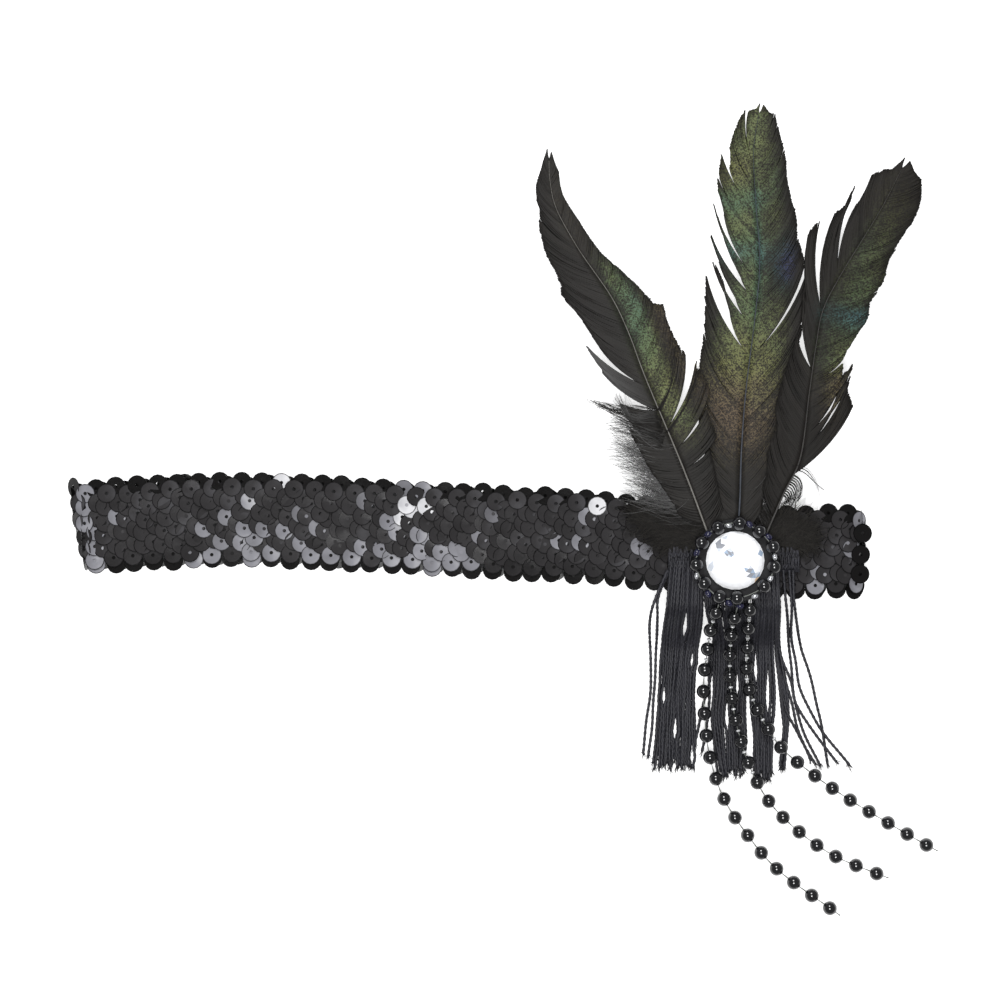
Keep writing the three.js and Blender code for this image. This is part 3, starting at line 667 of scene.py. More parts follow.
@dataclass(frozen=True)
class FeatherFinish:
    """Cock feather: brown black, with a painted sheen in its base colour that goes from bronze over green
    to violet.
    """

    name: str = "cock_feather"
    specular: float = 0.28
    dark: tuple = (0.010, 0.009, 0.008)
    downy: tuple = (0.27, 0.27, 0.27)
    sheen: tuple = (
        (0.0, (0.125, 0.092, 0.058)),
        (0.3, (0.165, 0.172, 0.068)),
        (0.55, (0.100, 0.150, 0.075)),
        (0.78, (0.062, 0.130, 0.128)),
        (1.0, (0.062, 0.074, 0.165)),
    )

    def material(self) -> bpy.types.Material:
        """Builds the finish.

        Returns:
            The material.
        """
        recipe = Recipe(self.name)
        mottle = recipe.noise(1900.0, 2.0)
        cloud = recipe.noise(420.0, 3.0)
        drift = recipe.noise(60.0, 2.0)
        hue = recipe.sum("ADD", recipe.carried("hue"), recipe.spread(drift, 0.3, 0.7, -0.1, 0.1))
        hue = recipe.sum("ADD", hue, recipe.spread(mottle, 0.3, 0.7, -0.08, 0.08))
        glow = recipe.sum("MULTIPLY", recipe.carried("glow"), recipe.spread(mottle, 0.42, 0.58, 0.2, 1.6))
        glow = recipe.sum("MULTIPLY", glow, recipe.spread(cloud, 0.35, 0.6, 0.6, 1.2))
        glow = recipe.sum("MULTIPLY", glow, recipe.spread(recipe.carried("tone"), 0.0, 1.0, 0.4, 1.3))
        plain = recipe.mix(recipe.carried("tone"), self.dark, tuple(1.9 * c for c in self.dark))
        # Painted sheen: the glow mixes the iridescent sheen colours into the base colour.
        lit = recipe.mix(glow, plain, recipe.ramp(hue, list(self.sheen)))
        recipe.set(
            Base_Color=recipe.mix(recipe.carried("grey"), lit, self.downy),
            Roughness=0.6,
            Specular_IOR_Level=self.specular,
        )
        recipe.bump(mottle, 0.15, 0.0001)
        return recipe.material


@dataclass(frozen=True)
class QuillFinish:
    """Horny quill, half glossy."""

    name: str
    dark: tuple
    light: tuple

    def material(self) -> bpy.types.Material:
        """Builds the finish.

        Returns:
            The material.
        """
        recipe = Recipe(self.name)
        streak = recipe.noise(350.0, 3.0)
        recipe.set(Base_Color=recipe.mix(streak, self.dark, self.light), Roughness=0.4)
        recipe.bump(recipe.noise(1400.0), 0.1, 0.0001)
        return recipe.material


@dataclass(frozen=True)
class FeltFinish:
    """Black craft felt."""

    def material(self) -> bpy.types.Material:
        """Builds the finish.

        Returns:
            The material.
        """
        recipe = Recipe("craft_felt")
        fuzz = recipe.noise(1800.0, 5.0)
        recipe.set(Base_Color=recipe.mix(fuzz, (0.008, 0.008, 0.009), (0.03, 0.03, 0.032)), Roughness=0.95)
        recipe.bump(fuzz, 0.6, 0.0002)
        return recipe.material


@dataclass(frozen=True)
class GlossFinish:
    """Moulded bead, cut glass or thread: one colour that drifts a little, with a shine."""

    name: str
    colour: tuple
    drift: tuple
    roughness: float = 0.06
    metallic: float = 0.0
    transmission: float = 0.0
    scale: float = 300.0
    index: float = 1.5

    def material(self) -> bpy.types.Material:
        """Builds the finish.

        Returns:
            The material.
        """
        recipe = Recipe(self.name)
        recipe.set(
            Base_Color=recipe.mix(recipe.noise(self.scale, 3.0), self.colour, self.drift),
            Roughness=self.roughness,
            Metallic=self.metallic,
            Transmission_Weight=self.transmission,
            IOR=self.index,
        )
        return recipe.material


@dataclass(frozen=True)
class StoneFinish:
    """Clear acrylic over foil with painted reflections: each facet carries a painted flash colour, mostly
    near white, and also gives it off as a weak glow.
    """

    def material(self) -> bpy.types.Material:
        """Builds the finish.

        Returns:
            The material.
        """
        recipe = Recipe("clear_acrylic")
        painted_flash = recipe.node("Attribute")
        painted_flash.attribute_name = "painted_flash"
        cloud = recipe.spread(recipe.noise(700.0, 2.0), 0.3, 0.7, 0.0, 0.12)
        colour = recipe.mix(cloud, painted_flash.outputs["Color"], (0.8, 0.85, 0.95))
        # Painted glow: the facet colour is also emitted, so the stone lights up by itself.
        recipe.set(Base_Color=colour, Roughness=0.04, IOR=1.49, Emission_Color=colour)
        recipe.shader.inputs["Emission Strength"].default_value = 0.22
        return recipe.material


# The band.


class BandRow(NamedTuple):
    """How the folded band lies at one place, as in the solids' table."""

    along: float
    rise: float
    lean: float
    dip: float


BAND_ROWS = (
    BandRow(0, 0.34, -0.2, 0),
    BandRow(0.1, 0.4, -0.08, 0.02),
    BandRow(0.22, 0.43, 0, 0.06),
    BandRow(0.36, 0.38, 0.02, 0.09),
    BandRow(0.5, 0.31, 0.03, 0.09),
    BandRow(0.64, 0.25, 0.03, 0.06),
    BandRow(0.76, 0.16, 0.03, 0.03),
    BandRow(0.9, 0.09, 0.04, 0.02),
    BandRow(1, 0.08, 0.03, 0),
)


@dataclass
class BandLoop:
    """The line of the folded loop, which the web and the sequins follow."""

    left_reach: float = 204.2
    right_reach: float = 41.0

    def __post_init__(self) -> None:
        """Works out the folds and the tables."""
        self.half = BAND_TOP / 2
        self.fold = LOOP_CLEARANCE / 2
        self.left = -self.left_reach + self.half
        self.right = self.right_reach - self.half
        self.run = self.right - self.left
        self.turn = math.pi * (self.fold + (self.half - self.fold) / 2)
        self.length = 2 * (self.run + self.turn)
        self.rise = Table([(row.along, row.rise) for row in BAND_ROWS])
        self.lean = Table([(row.along, row.lean) for row in BAND_ROWS])
        self.dip = Table([(row.along, row.dip) for row in BAND_ROWS])

    def share(self, x: float) -> float:
        """Returns the share of the folded length at x."""
        return (x + self.left_reach) / (self.left_reach + self.right_reach)

    def place(self, way: float) -> tuple[float, float, float, float]:
        """Finds a place on the loop's inner face.

        Args:
            way: distance along the loop, from the start of the upper layer.

        Returns:
            Its x and z, and the x and z of the direction out of the loop.
        """
        way %= self.length
        if way < self.run:
            x = self.left + way
            dip = LOOP_CLEARANCE * float(self.dip.at(self.share(x)))
            return x, self.half + self.fold - dip, 0.0, 1.0
        if self.run + self.turn <= way < 2 * self.run + self.turn:
            return self.right - (way - self.run - self.turn), self.half - self.fold, 0.0, -1.0
        if way < self.run + self.turn:
            centre, angle = self.right, math.pi / 2 - math.pi * (way - self.run) / self.turn
        else:
            past = way - 2 * self.run - self.turn
            centre, angle = self.left, -math.pi / 2 - math.pi * past / self.turn
        out_x, out_z = math.cos(angle), math.sin(angle)
        return centre + self.fold * out_x, self.half + self.fold * out_z, out_x, out_z

    def point(self, way: float, out: float, cross: float) -> np.ndarray:
        """Finds a point by the loop.

        Args:
            way: distance along the loop.
            out: distance out of its inner face.
            cross: distance across it from its middle.

        Returns:
            The point.
        """
        x, z, out_x, out_z = self.place(way)
        along = self.share(x)
        lean = float(self.lean.at(along))
        y = BAND_WIDTH * float(self.rise.at(along)) + cross
        return np.array([x + out * out_x + lean * cross, y, z + out * out_z])


class Glint(NamedTuple):
    """A painted lamp glint on the sequin nearest this place in the plan: grey at 0, nearly white at 1,
    dimmer below 0.
    """

    x: float
    y: float
    glint_strength: float = 0.0


# Places of the painted lamp glints: the sequin nearest each place gets a grey or near-white tone.
GLINTS = (
    Glint(-202, 15), Glint(-199, 12), Glint(-199, 9), Glint(-196, 10), Glint(-197, 4.5), Glint(-198, 2),
    Glint(-198, -2), Glint(-192.5, 13), Glint(-200, 21), Glint(-159, 12.5), Glint(-163, 11.5),
    Glint(-156, 11.5), Glint(-150.5, 11.5), Glint(-148.5, 7.5), Glint(-144, 11.5), Glint(-138.5, 11),
    Glint(-158.5, 3.5), Glint(-152.5, 3.5), Glint(-149.5, 4), Glint(-146.5, 2), Glint(-140.5, 2.5),
    Glint(-163.5, 2), Glint(-167.5, 0.5), Glint(-150, 19.5, 0.3), Glint(-139.5, 22, 0.8), Glint(-147, -1),
    Glint(-101, 19, 1), Glint(-95, 19, 1), Glint(-99, 17.5, 0.6), Glint(-103, 15, 0.8), Glint(-107, 13.5),
    Glint(-104.5, 10.5, 0.2), Glint(-98, 10), Glint(-96, 6.5), Glint(-107, 3), Glint(-104.5, 2),
    Glint(-101, 2, 0.2), Glint(-99, 1), Glint(-95.5, 1, 0.1), Glint(-92, 0.5), Glint(-89.5, 0.5),
    Glint(-91, -2), Glint(-86, 4.5), Glint(-86, 0.5), Glint(-82, 2), Glint(-79.5, 0), Glint(-80, 8),
    Glint(-94, 24), Glint(-53.5, 6.5), Glint(-47, 5.5), Glint(-41.5, 14.5, 0.8), Glint(-46.5, 14),
    Glint(-27, 3), Glint(-24.5, 2), Glint(-28.5, 5), Glint(25, -8), Glint(36.5, -7.5), Glint(24.5, -3.5),
    Glint(38, 2.5), Glint(39, 12), Glint(-132.5, 3.7), Glint(-130.4, 1.9), Glint(-126.4, 2.8),
    Glint(-123.4, 1.9), Glint(-130.8, 10.2), Glint(-117.3, 1.5), Glint(-113.8, 3.2), Glint(-110.3, 2.4),
    Glint(-134.7, 16.3, -0.3), Glint(-112.5, 18.9, -0.3), Glint(-100.5, 24.2, -0.3), Glint(-73, 15, -0.3),
)


class FoldSequin(NamedTuple):
    """A black sequin that stands out over the right fold: its place and its dips, in degrees."""

    x: float
    y: float
    dip: float
    roll: float


FOLD_SEQUINS = (
    FoldSequin(39.9, 8.3, 11.0, 3.0),
    FoldSequin(39.3, 1.7, 12.0, -2.0),
    FoldSequin(39.1, -4.3, 10.0, 4.0),
)


@dataclass
class SequinBand:
    """The loop of elastic web with its strings of overlapping sequins."""

    loop: BandLoop
    web_width: float = 22.4
    sequin: float = 6.0
    hole: float = 1.1
    cup: float = 0.04
    foil: float = 0.11
    strings: int = 5
    string_gap: float = 4.25
    sway: float = 1.5
    pitch: float = 3.12
    edge_row: float = 11.8
    lap: float = 4.6
    under_step: float = 0.9
    edge_tone: float = 0.02
    plain_tone: float = 0.19
    glint_tone: float = 0.56
    fold_tone: float = 0.03
    seed: int = 11

    def web(self) -> None:
        """Makes the elastic web."""
        ways = np.linspace(0, self.loop.length, 301)[:-1]
        crosses = np.linspace(-self.web_width / 2, self.web_width / 2, 9)
        section = [(0.0, c) for c in crosses] + [(ELASTIC_WALL, c) for c in crosses[::-1]]
        points = [self.loop.point(way, out, cross) for way in ways for out, cross in section]
        corners = len(section)
        count = len(ways)
        faces = []
        for i in range(count):
            for k in range(corners):
                a, b = i * corners + k, i * corners + (k + 1) % corners
                c, d = (i + 1) % count * corners + (k + 1) % corners, (i + 1) % count * corners + k
                faces.append([d, c, b, a])
        uv = [(way / self.loop.length, cross / self.web_width) for way in ways for _, cross in section]
        stock = MeshStock()
        stock.add(np.array(points), faces, uv=np.array(uv))
        web = stock.piece("elastic_web", ElasticFinish().material())
        finish_piece(web, Slot.ELASTIC, "elastic_band")

    def lay_out(self, draw: np.random.Generator) -> list[tuple[float, float, float, int]]:
        """Lays out the sequins: two edge rows below, then the swaying strings.

        Args:
            draw: the source of chance.

        Returns:
            Each sequin's way along the loop, place across it, height and edge: -1, 0 or 1.
        """
        laid = []
        edge_count = round(self.loop.length / (2 * self.pitch))
        for edge in (-1, 1):
            for n in range(edge_count):
                way = (n + 0.25 * (1 + edge)) * self.loop.length / edge_count
                above = self.loop.place(way)[3] > FACES_UP
                row = self.edge_row if above else self.edge_row - self.under_step
                laid.append((way + 0.3 * draw.normal(), edge * row + 0.25 * draw.normal(), 0.12, edge))
        count = 2 * edge_count
        for string in range(self.strings):
            middle = (string - (self.strings - 1) / 2) * self.string_gap
            for n in range(count):
                way = (n + 0.3 * string) * self.loop.length / count + 0.22 * draw.normal()
                side = 1 if n % 2 else -1
                cross = middle + side * self.sway + 0.28 * draw.normal()
                laid.append((way, cross, 0.5 + 0.05 * draw.normal(), 0))
        return laid

    def sequins(self) -> None:
        """Makes all the sequins, each lapped over the one before it."""
        draw = np.random.default_rng(self.seed)
        shape, faces = Bench.sequin(self.sequin, self.hole, self.cup, self.foil)
        rim = np.hypot(shape[:, 0], shape[:, 1]) / (self.sequin / 2)
        stock = MeshStock()
        base = ELASTIC_WALL + SEAT
        laid = self.lay_out(draw)
        spots = np.array([self.loop.point(way, base + height, cross) for way, cross, height, _ in laid])
        upper = np.array([self.loop.place(way)[3] > FACES_UP for way, _, _, _ in laid])
        bright = {}
        for glint in GLINTS:
            far = np.hypot(spots[:, 0] - glint.x, spots[:, 1] - glint.y) + np.where(upper, 0, 99)
            bright[int(np.argmin(far))] = glint.glint_strength
        for i, (way, cross, height, edge) in enumerate(laid):
            off = draw.normal(0, 1, 4)
            spot = spots[i]
            level = base + height
            ahead = self.loop.point(way + 0.5, level, cross) - self.loop.point(way - 0.5, level, cross)
            side = self.loop.point(way, level, cross + 0.5) - self.loop.point(way, level, cross - 0.5)
            along = unit(ahead)
            out = unit(np.cross(along, side))
            axes = np.stack([along, np.cross(out, along), out])
            slope = math.tan(math.radians(self.lap + 1.2 * off[0]))
            roll = math.tan(math.radians(3.6 + 1.2 * off[1]))
            if edge:
                slope *= 0.5
                roll = math.tan(math.radians(5 + 1.5 * off[1]))
            shadow = max(0, -cross - 6) / 4 * (0.5 + 0.5 * math.sin(0.05 * way + 1))
            plain = max(self.plain_tone + 0.02 * off[2] - 0.08 * shadow, 0.04)
            tone = self.edge_tone if edge else plain
            bend = 0.005 * off[3]
            # Painted glint: this sequin's tone is raised to grey or near white, standing for a lamp
            # reflection.
            if i in bright:
                tone = self.glint_tone + (1 - self.glint_tone) * bright[i]
            local = shape.copy()
            fold = math.cos(i) * local[:, 0] + math.sin(i) * local[:, 1]
            local[:, 2] += bend * fold**2 - slope * local[:, 0] - roll * local[:, 1]
            placed = spot + local @ axes
            placed[:, 2] += max(0.05 - placed[:, 2].min(), 0)
            # Painted shading: each sequin's tone is lighter towards one side, a gradient of light across
            # the disc.
            stock.add(placed, faces, rim=rim, tone=tone * (1 + 0.3 * shape[:, 0] / self.sequin))
        for loose in FOLD_SEQUINS:
            placed = shape + np.array([loose.x, loose.y, BAND_TOP + 0.1])
            placed[:, 2] -= math.tan(math.radians(loose.dip)) * shape[:, 0]
            placed[:, 2] -= math.tan(math.radians(loose.roll)) * shape[:, 1]
            stock.add(placed, faces, rim=rim, tone=self.fold_tone)
        made = stock.piece("sequins", SequinFinish().material())
        bpy.context.view_layer.objects.active = made
        Bench.clear()
        made.select_set(True)
        bpy.ops.object.shade_smooth_by_angle(angle=math.radians(40))
        finish_piece(made, Slot.SEQUINS, "sequin_coat")


# The fringe.


FRINGE_FALL = 16.0


def fringe_level(below: np.ndarray) -> np.ndarray:
    """Returns the level of the fringe's underside at distances below the stone's axis."""
    fallen = np.clip((below - BAND_EDGE) / FRINGE_FALL, 0, 1)
    return TRIM_LEVEL * (1 - fallen * fallen * (3 - 2 * fallen))


class Bunch(NamedTuple):
    """Cords that lie side by side. left and right are the outer cords' plan points."""

    count: int
    left: tuple
    right: tuple


FRINGE_BUNCHES = (
    Bunch(
        27,
        ((-19.6, 0), (-20.9, -13.3), (-22.6, -36.9), (-24.6, -65.6)),
        ((-9.4, 0), (-9.6, -20), (-11, -37), (-11.2, -49), (-11.6, -65.5)),
    ),
    Bunch(
        24,
        ((-9.2, 0), (-8.8, -14), (-7.2, -20), (-5.4, -26), (-5.5, -40), (-6.2, -51), (-3.8, -68.3)),
        ((4.4, 0), (4.4, -24.8), (4.5, -43.4), (4.6, -55.8), (4.2, -67.6)),
    ),
    Bunch(
        17,
        ((4.2, 0), (5.4, -9.3), (5.4, -24.8), (5.7, -43.4), (6.6, -55.8), (7.2, -68.8)),
        ((11.8, 0), (12.4, -14), (12.9, -26), (13.3, -38), (13.2, -50), (12.6, -69)),
    ),
    Bunch(
        7,
        ((11.6, 0), (12.9, -18), (13.3, -26), (14.8, -40), (15.6, -52), (15.0, -65)),
        ((13.6, 0), (14.4, -22), (15.6, -30), (17.6, -40), (17.6, -52), (16.6, -66)),
    ),
)

LOOSE_CORDS = (
    ((-20.5, -3), (-24.4, -12.1), (-25.6, -16.7), (-25.3, -36.9), (-27.5, -60.6)),
    ((-20.0, -3), (-23.5, -11.8), (-23.6, -18.3), (-23.5, -32.9), (-25.9, -61.4)),
    ((-4.4, -3), (-4.8, -14), (-5.6, -25), (-6.8, -37), (-9.4, -48), (-11.2, -58)),
    ((-3.6, -3), (-4.2, -20), (-6.6, -30), (-7.0, -42), (-7.6, -50), (-9.2, -60)),
    ((15.2, -3), (16.2, -13.6), (17.5, -24), (19.0, -36.9), (20.2, -45), (22.1, -52.4), (27.4, -64.4)),
    ((17.0, -3), (17.8, -13.3), (18.4, -22.3), (19.9, -31.3), (21.5, -40.9), (27.1, -51.5), (36.9, -64.2)),
    ((18.2, -3), (18.7, -13.3), (21.5, -27.0), (23.7, -34.1), (26.1, -42.2), (28.9, -55.5), (29.9, -64.2)),
    ((13.0, -3), (14.2, -24), (15.6, -31.3), (18.7, -38.4), (20.2, -45), (27.1, -55.5), (32.5, -63.2)),
    ((13.6, -3), (14.8, -27), (16.2, -34.7), (19.0, -45), (21.0, -54), (24.6, -63)),
    ((13.2, -3), (14.6, -34), (17.1, -46.5), (20.6, -53.9), (26.1, -64)),
)


class Parting(NamedTuple):
    """A slit between the cords, by its middle and half its length and width."""

    x: float
    y: float
    half_length: float
    half_width: float


PARTINGS = (
    Parting(-14.8, -19.2, 4.6, 1.0),
    Parting(-21.1, -42.0, 2.8, 0.5),
    Parting(-17.6, -52.7, 2.8, 0.5),
    Parting(-12.4, -31.3, 2.4, 0.5),
    Parting(-12.4, -60.8, 3.0, 0.6),
    Parting(1.9, -39.2, 3.4, 0.6),
    Parting(-1.5, -48.8, 3.6, 0.5),
    Parting(7.5, -33.2, 4.2, 0.6),
    Parting(11.1, -41.2, 8.0, 0.7),
    Parting(12.7, -46.5, 5.0, 0.5),
    Parting(14.9, -49.6, 6.6, 0.9),
)


@dataclass
class Fringe:
    """Twisted cords looped over a heading, with frayed ends."""

    cord: float = 1.12
    lay: float = 3.6
    heading_half: float = 3.7
    half_width: float = 19.6
    steps: int = 128
    fibres: int = 12
    fibre: float = 0.2
    loops: int = 38
    seed: int = 23

    def routes(self, draw: np.random.Generator) -> list[np.ndarray]:
        """Lays out the cords' middle lines.

        Args:
            draw: the source of chance.

        Returns:
            One row of points for each cord.
        """
        share = np.linspace(0, 1, self.steps)
        plans = []
        for bunch in FRINGE_BUNCHES:
            left, right = Route(list(bunch.left)), Route(list(bunch.right))
            for i in range(bunch.count):
                t = (i + 0.5 + 0.22 * draw.normal()) / bunch.count
                end = 1 - 0.05 * draw.random()
                plans.append((1 - t) * left.at(share * end) + t * right.at(share * end))
        for points in LOOSE_CORDS:
            plans.append(Route(list(points)).at(share))
        routes = []
        for plan in plans:
            phase = draw.random(4) * 2 * math.pi
            below = -plan[:, 1]
            sway = np.sin(below * 0.17 + phase[0]) + 0.5 * np.sin(below * 0.41 + phase[1])
            plan[:, 0] += 0.2 * sway * np.clip(below / 40, 0, 1)
            for parting in PARTINGS:
                away = plan[:, 0] - parting.x
                along = (plan[:, 1] - parting.y) / parting.half_length
                fade = np.interp(along, [-1.3, -0.4, 1.5], [0.0, 1.0, 0.0])
                reach = np.clip(1 - np.abs(away) / 2.6, 0, 1)
                side = np.sign(away[np.argmin(np.abs(plan[:, 1] - parting.y))] + 1e-6)
                plan[:, 0] += side * (0.5 * parting.half_width + 0.36 * self.cord) * fade * reach
            stack = 0.5 + 0.5 * math.sin(phase[2])
            ripple = 0.12 * np.sin(below * 0.3 + phase[3])
            plan[:, 2] = fringe_level(below) + self.cord / 2 + 0.75 * stack + ripple + 0.13
            routes.append(plan)
        return routes

    def make(self) -> None:
        """Makes the cords, their frayed ends and the heading."""
        draw = np.random.default_rng(self.seed)
        routes = np.array(self.routes(draw))
        stock = MeshStock()
        count = len(routes)
        lengths = np.linalg.norm(np.diff(routes, axis=1), axis=2).cumsum(axis=1)
        ways = np.concatenate([np.zeros((count, 1)), lengths], axis=1)
        turns = 2 * math.pi * ways / self.lay + draw.random((count, 1)) * 6
        profile = round_profile(6) * np.array([1.0, 0.78])
        radii = np.full((count, self.steps), self.cord / 2)
        points, faces = strands(routes, radii, profile, turns)
        tone = np.repeat(draw.random(count), self.steps * len(profile))
        # Painted shade: the tone is higher on the two wide corners of the twisting profile and lower
        # between them, standing for lit ply crowns and shaded grooves.
        ply_shade = np.tile(np.abs(profile[:, 0]), count * self.steps)
        stock.add(points, faces, tone=0.2 + 0.3 * tone + 0.4 * ply_shade)
        self.fray(stock, routes, draw)
        self.heading(stock, draw)
        made = stock.piece("cord_fringe", CordFinish().material())
        finish_piece(made, Slot.CORD, "fringe")

    def fray(self, stock: MeshStock, routes: np.ndarray, draw: np.random.Generator) -> None:
        """Adds the loose fibres at each cord's cut end.

        Args:
            stock: what they are added to.
            routes: the cords' middle lines.
            draw: the source of chance.
        """
        t = np.linspace(0, 1, 4)
        paths = []
        for route in routes:
            end = route[-1]
            heading = unit(route[-1] - route[-6])
            for _ in range(self.fibres):
                reach = draw.uniform(1.0, 2.3)
                spread = draw.normal(0, 0.26, 3) * np.array([1, 1, 0.3])
                curl = draw.normal(0, 0.35, 3) * np.array([1, 1, 0.1])
                path = end - heading * 0.9 + np.outer(t, (heading + spread) * reach) + np.outer(t**2, curl)
                path[:, 2] = np.maximum(path[:, 2] - 0.4 * t, 0.2)
                paths.append(path)
        paths = np.array(paths)
        radii = np.tile(self.fibre * (1 - 0.6 * t), (len(paths), 1))
        points, faces = strands(paths, radii, round_profile(3))
        stock.add(points, faces, tone=0.3)

    def heading(self, stock: MeshStock, draw: np.random.Generator) -> None:
        """Adds the heading: a row of looped cords, bound across by two chains.

        Args:
            stock: what it is added to.
            draw: the source of chance.
        """
        steps = 24
        t = np.linspace(0, 1, steps)
        level = TRIM_LEVEL + self.cord / 2 + 0.12
        paths = []
        for x in np.linspace(-self.half_width, self.half_width, self.loops):
            tall = self.heading_half + 0.45 * draw.normal()
            bow = 0.42 * np.sin(math.pi * t)
            loop = np.stack(
                [
                    x - 0.34 * np.cos(math.pi * t) + 0.25 * draw.normal() * np.sin(math.pi * t),
                    -self.heading_half + (tall + self.heading_half) * np.sin(math.pi * t) ** 0.7,
                    level + bow,
                ],
                axis=-1,
            )
            paths.append(loop)
        for y in (-1.9, 1.5):
            x = np.linspace(-self.half_width - 0.5, self.half_width + 0.5, steps * 12)
            chain = np.stack([x, y + 0.6 * np.sin(x * 3.1), level + 0.62 + 0.2 * np.cos(x * 6.2)], axis=-1)
            paths.extend(np.split(chain, 12))
        paths = np.array(paths)
        turns = np.tile(np.linspace(0, 5 * math.pi, steps), (len(paths), 1))
        radii = np.full(paths.shape[:2], 0.44)
        points, faces = strands(paths, radii, round_profile(6) * np.array([1, 0.7]), turns)
        tone = np.repeat(0.3 + 0.5 * draw.random(len(paths)), steps * 6)
        stock.add(points, faces, tone=tone)


# The down.


class DownClump(NamedTuple):
    """Down that grows out of an oval place. turn is the way that its hairs point, in degrees."""

    x: float
    y: float
    wide: float
    tall: float
    turn: float
    spread: float
    reach: float
    hairs: int


DOWN_CLUMPS = (
    DownClump(-9, 8, 7, 5, 150, 55, 13, 900),
    DownClump(-19, 12, 7, 5, 165, 60, 10, 1000),
    DownClump(-24, 14, 7, 4, 160, 70, 8, 450),
    DownClump(-16, 7, 7, 3.5, 190, 50, 8, 500),
    DownClump(0, 14, 9, 4, 90, 55, 13, 1300),
    DownClump(12, 8, 6, 5, 25, 60, 12, 800),
    DownClump(19, 7, 5, 4, 10, 70, 8, 600),
)


@dataclass
class DownTuft:
    """Black down that spreads from behind the rosette over the sequins."""

    steps: int = 6
    seed: int = 31

    def clump(self, clump: DownClump, draw: np.random.Generator) -> tuple[np.ndarray, np.ndarray]:
        """Grows one clump.

        Args:
            clump: where and how.
            draw: the source of chance.

        Returns:
            The hairs' middle lines and their radii.
        """
        t = np.linspace(0, 1, self.steps)
        count = clump.hairs
        inside = np.sqrt(draw.random(count))
        round_about = draw.random(count) * 2 * math.pi
        root = np.stack(
            [
                clump.x + clump.wide * inside * np.cos(round_about),
                clump.y + clump.tall * inside * np.sin(round_about),
                TRIM_LEVEL + draw.uniform(0.15, 1.2, count),
            ],
            axis=-1,
        )
        turn = np.radians(clump.turn + clump.spread * draw.normal(0, 0.6, count))
        reach = clump.reach * draw.uniform(0.3, 1.0, count)
        away = np.stack([np.cos(turn), np.sin(turn), np.zeros(count)], axis=-1)
        sideways = np.stack([-np.sin(turn), np.cos(turn), np.zeros(count)], axis=-1)
        curl = draw.normal(0, 0.25, count) * reach
        wave = draw.normal(0, 0.5, count)
        paths = root[:, None] + away[:, None] * (t[None, :, None] * reach[:, None, None])
        ripple = np.sin(5 * t[None] + turn[:, None] * 9) * wave[:, None] * t[None]
        bend = t[None] ** 2 * curl[:, None] + ripple
        paths = paths + sideways[:, None] * bend[..., None]
        lift = draw.uniform(-0.5, 0.7, count)
        level = paths[..., 2] + lift[:, None] * t[None]
        paths[..., 2] = np.clip(level, TRIM_LEVEL + 0.12, TRIM_LEVEL + 1.4)
        return paths, np.outer(draw.uniform(0.08, 0.17, count), 1 - 0.75 * t)

    def make(self) -> None:
        """Makes the tuft."""
        draw = np.random.default_rng(self.seed)
        grown = [self.clump(clump, draw) for clump in DOWN_CLUMPS]
        paths = np.concatenate([paths for paths, _ in grown])
        radii = np.concatenate([radii for _, radii in grown])
        points, faces = strands(paths, radii, round_profile(3))
        stock = MeshStock()
        tone = np.repeat(draw.random(len(paths)), self.steps * 3)
        stock.add(points, faces, tone=tone)
        made = stock.piece("down_fluff", DownFinish().material())
        finish_piece(made, Slot.DOWN, "down_tuft")


# The feathers.


class Rib(NamedTuple):
    """A rib of a vane: where it leaves the quill, its reach, its angle and its lock."""

    lock: int
    along: float
    reach: float
    angle: float


class Wisp(NamedTuple):
    """A lock of loose hairs along plan points in millimetres."""

    points: tuple
    hairs: int
    start_spread: float
    end_spread: float
    grey: float = 0.0


class Glow(NamedTuple):
    """A patch of painted sheen. across runs from -1, the left rim, to 1, the right rim."""

    along: float
    across: float
    long: float
    wide: float
    hue: float
    strength: float


SIDE_LIFT = (
    (0, 0), (0.09, 0), (0.16, 0.15), (0.3, 0.19), (0.5, 0.02), (0.7, -0.28), (0.85, -0.56), (1, -0.86),
)
MIDDLE_LIFT = ((0, 0), (0.12, 0), (0.3, -0.07), (0.5, -0.24), (0.7, -0.5), (0.85, -0.76), (1, -1))


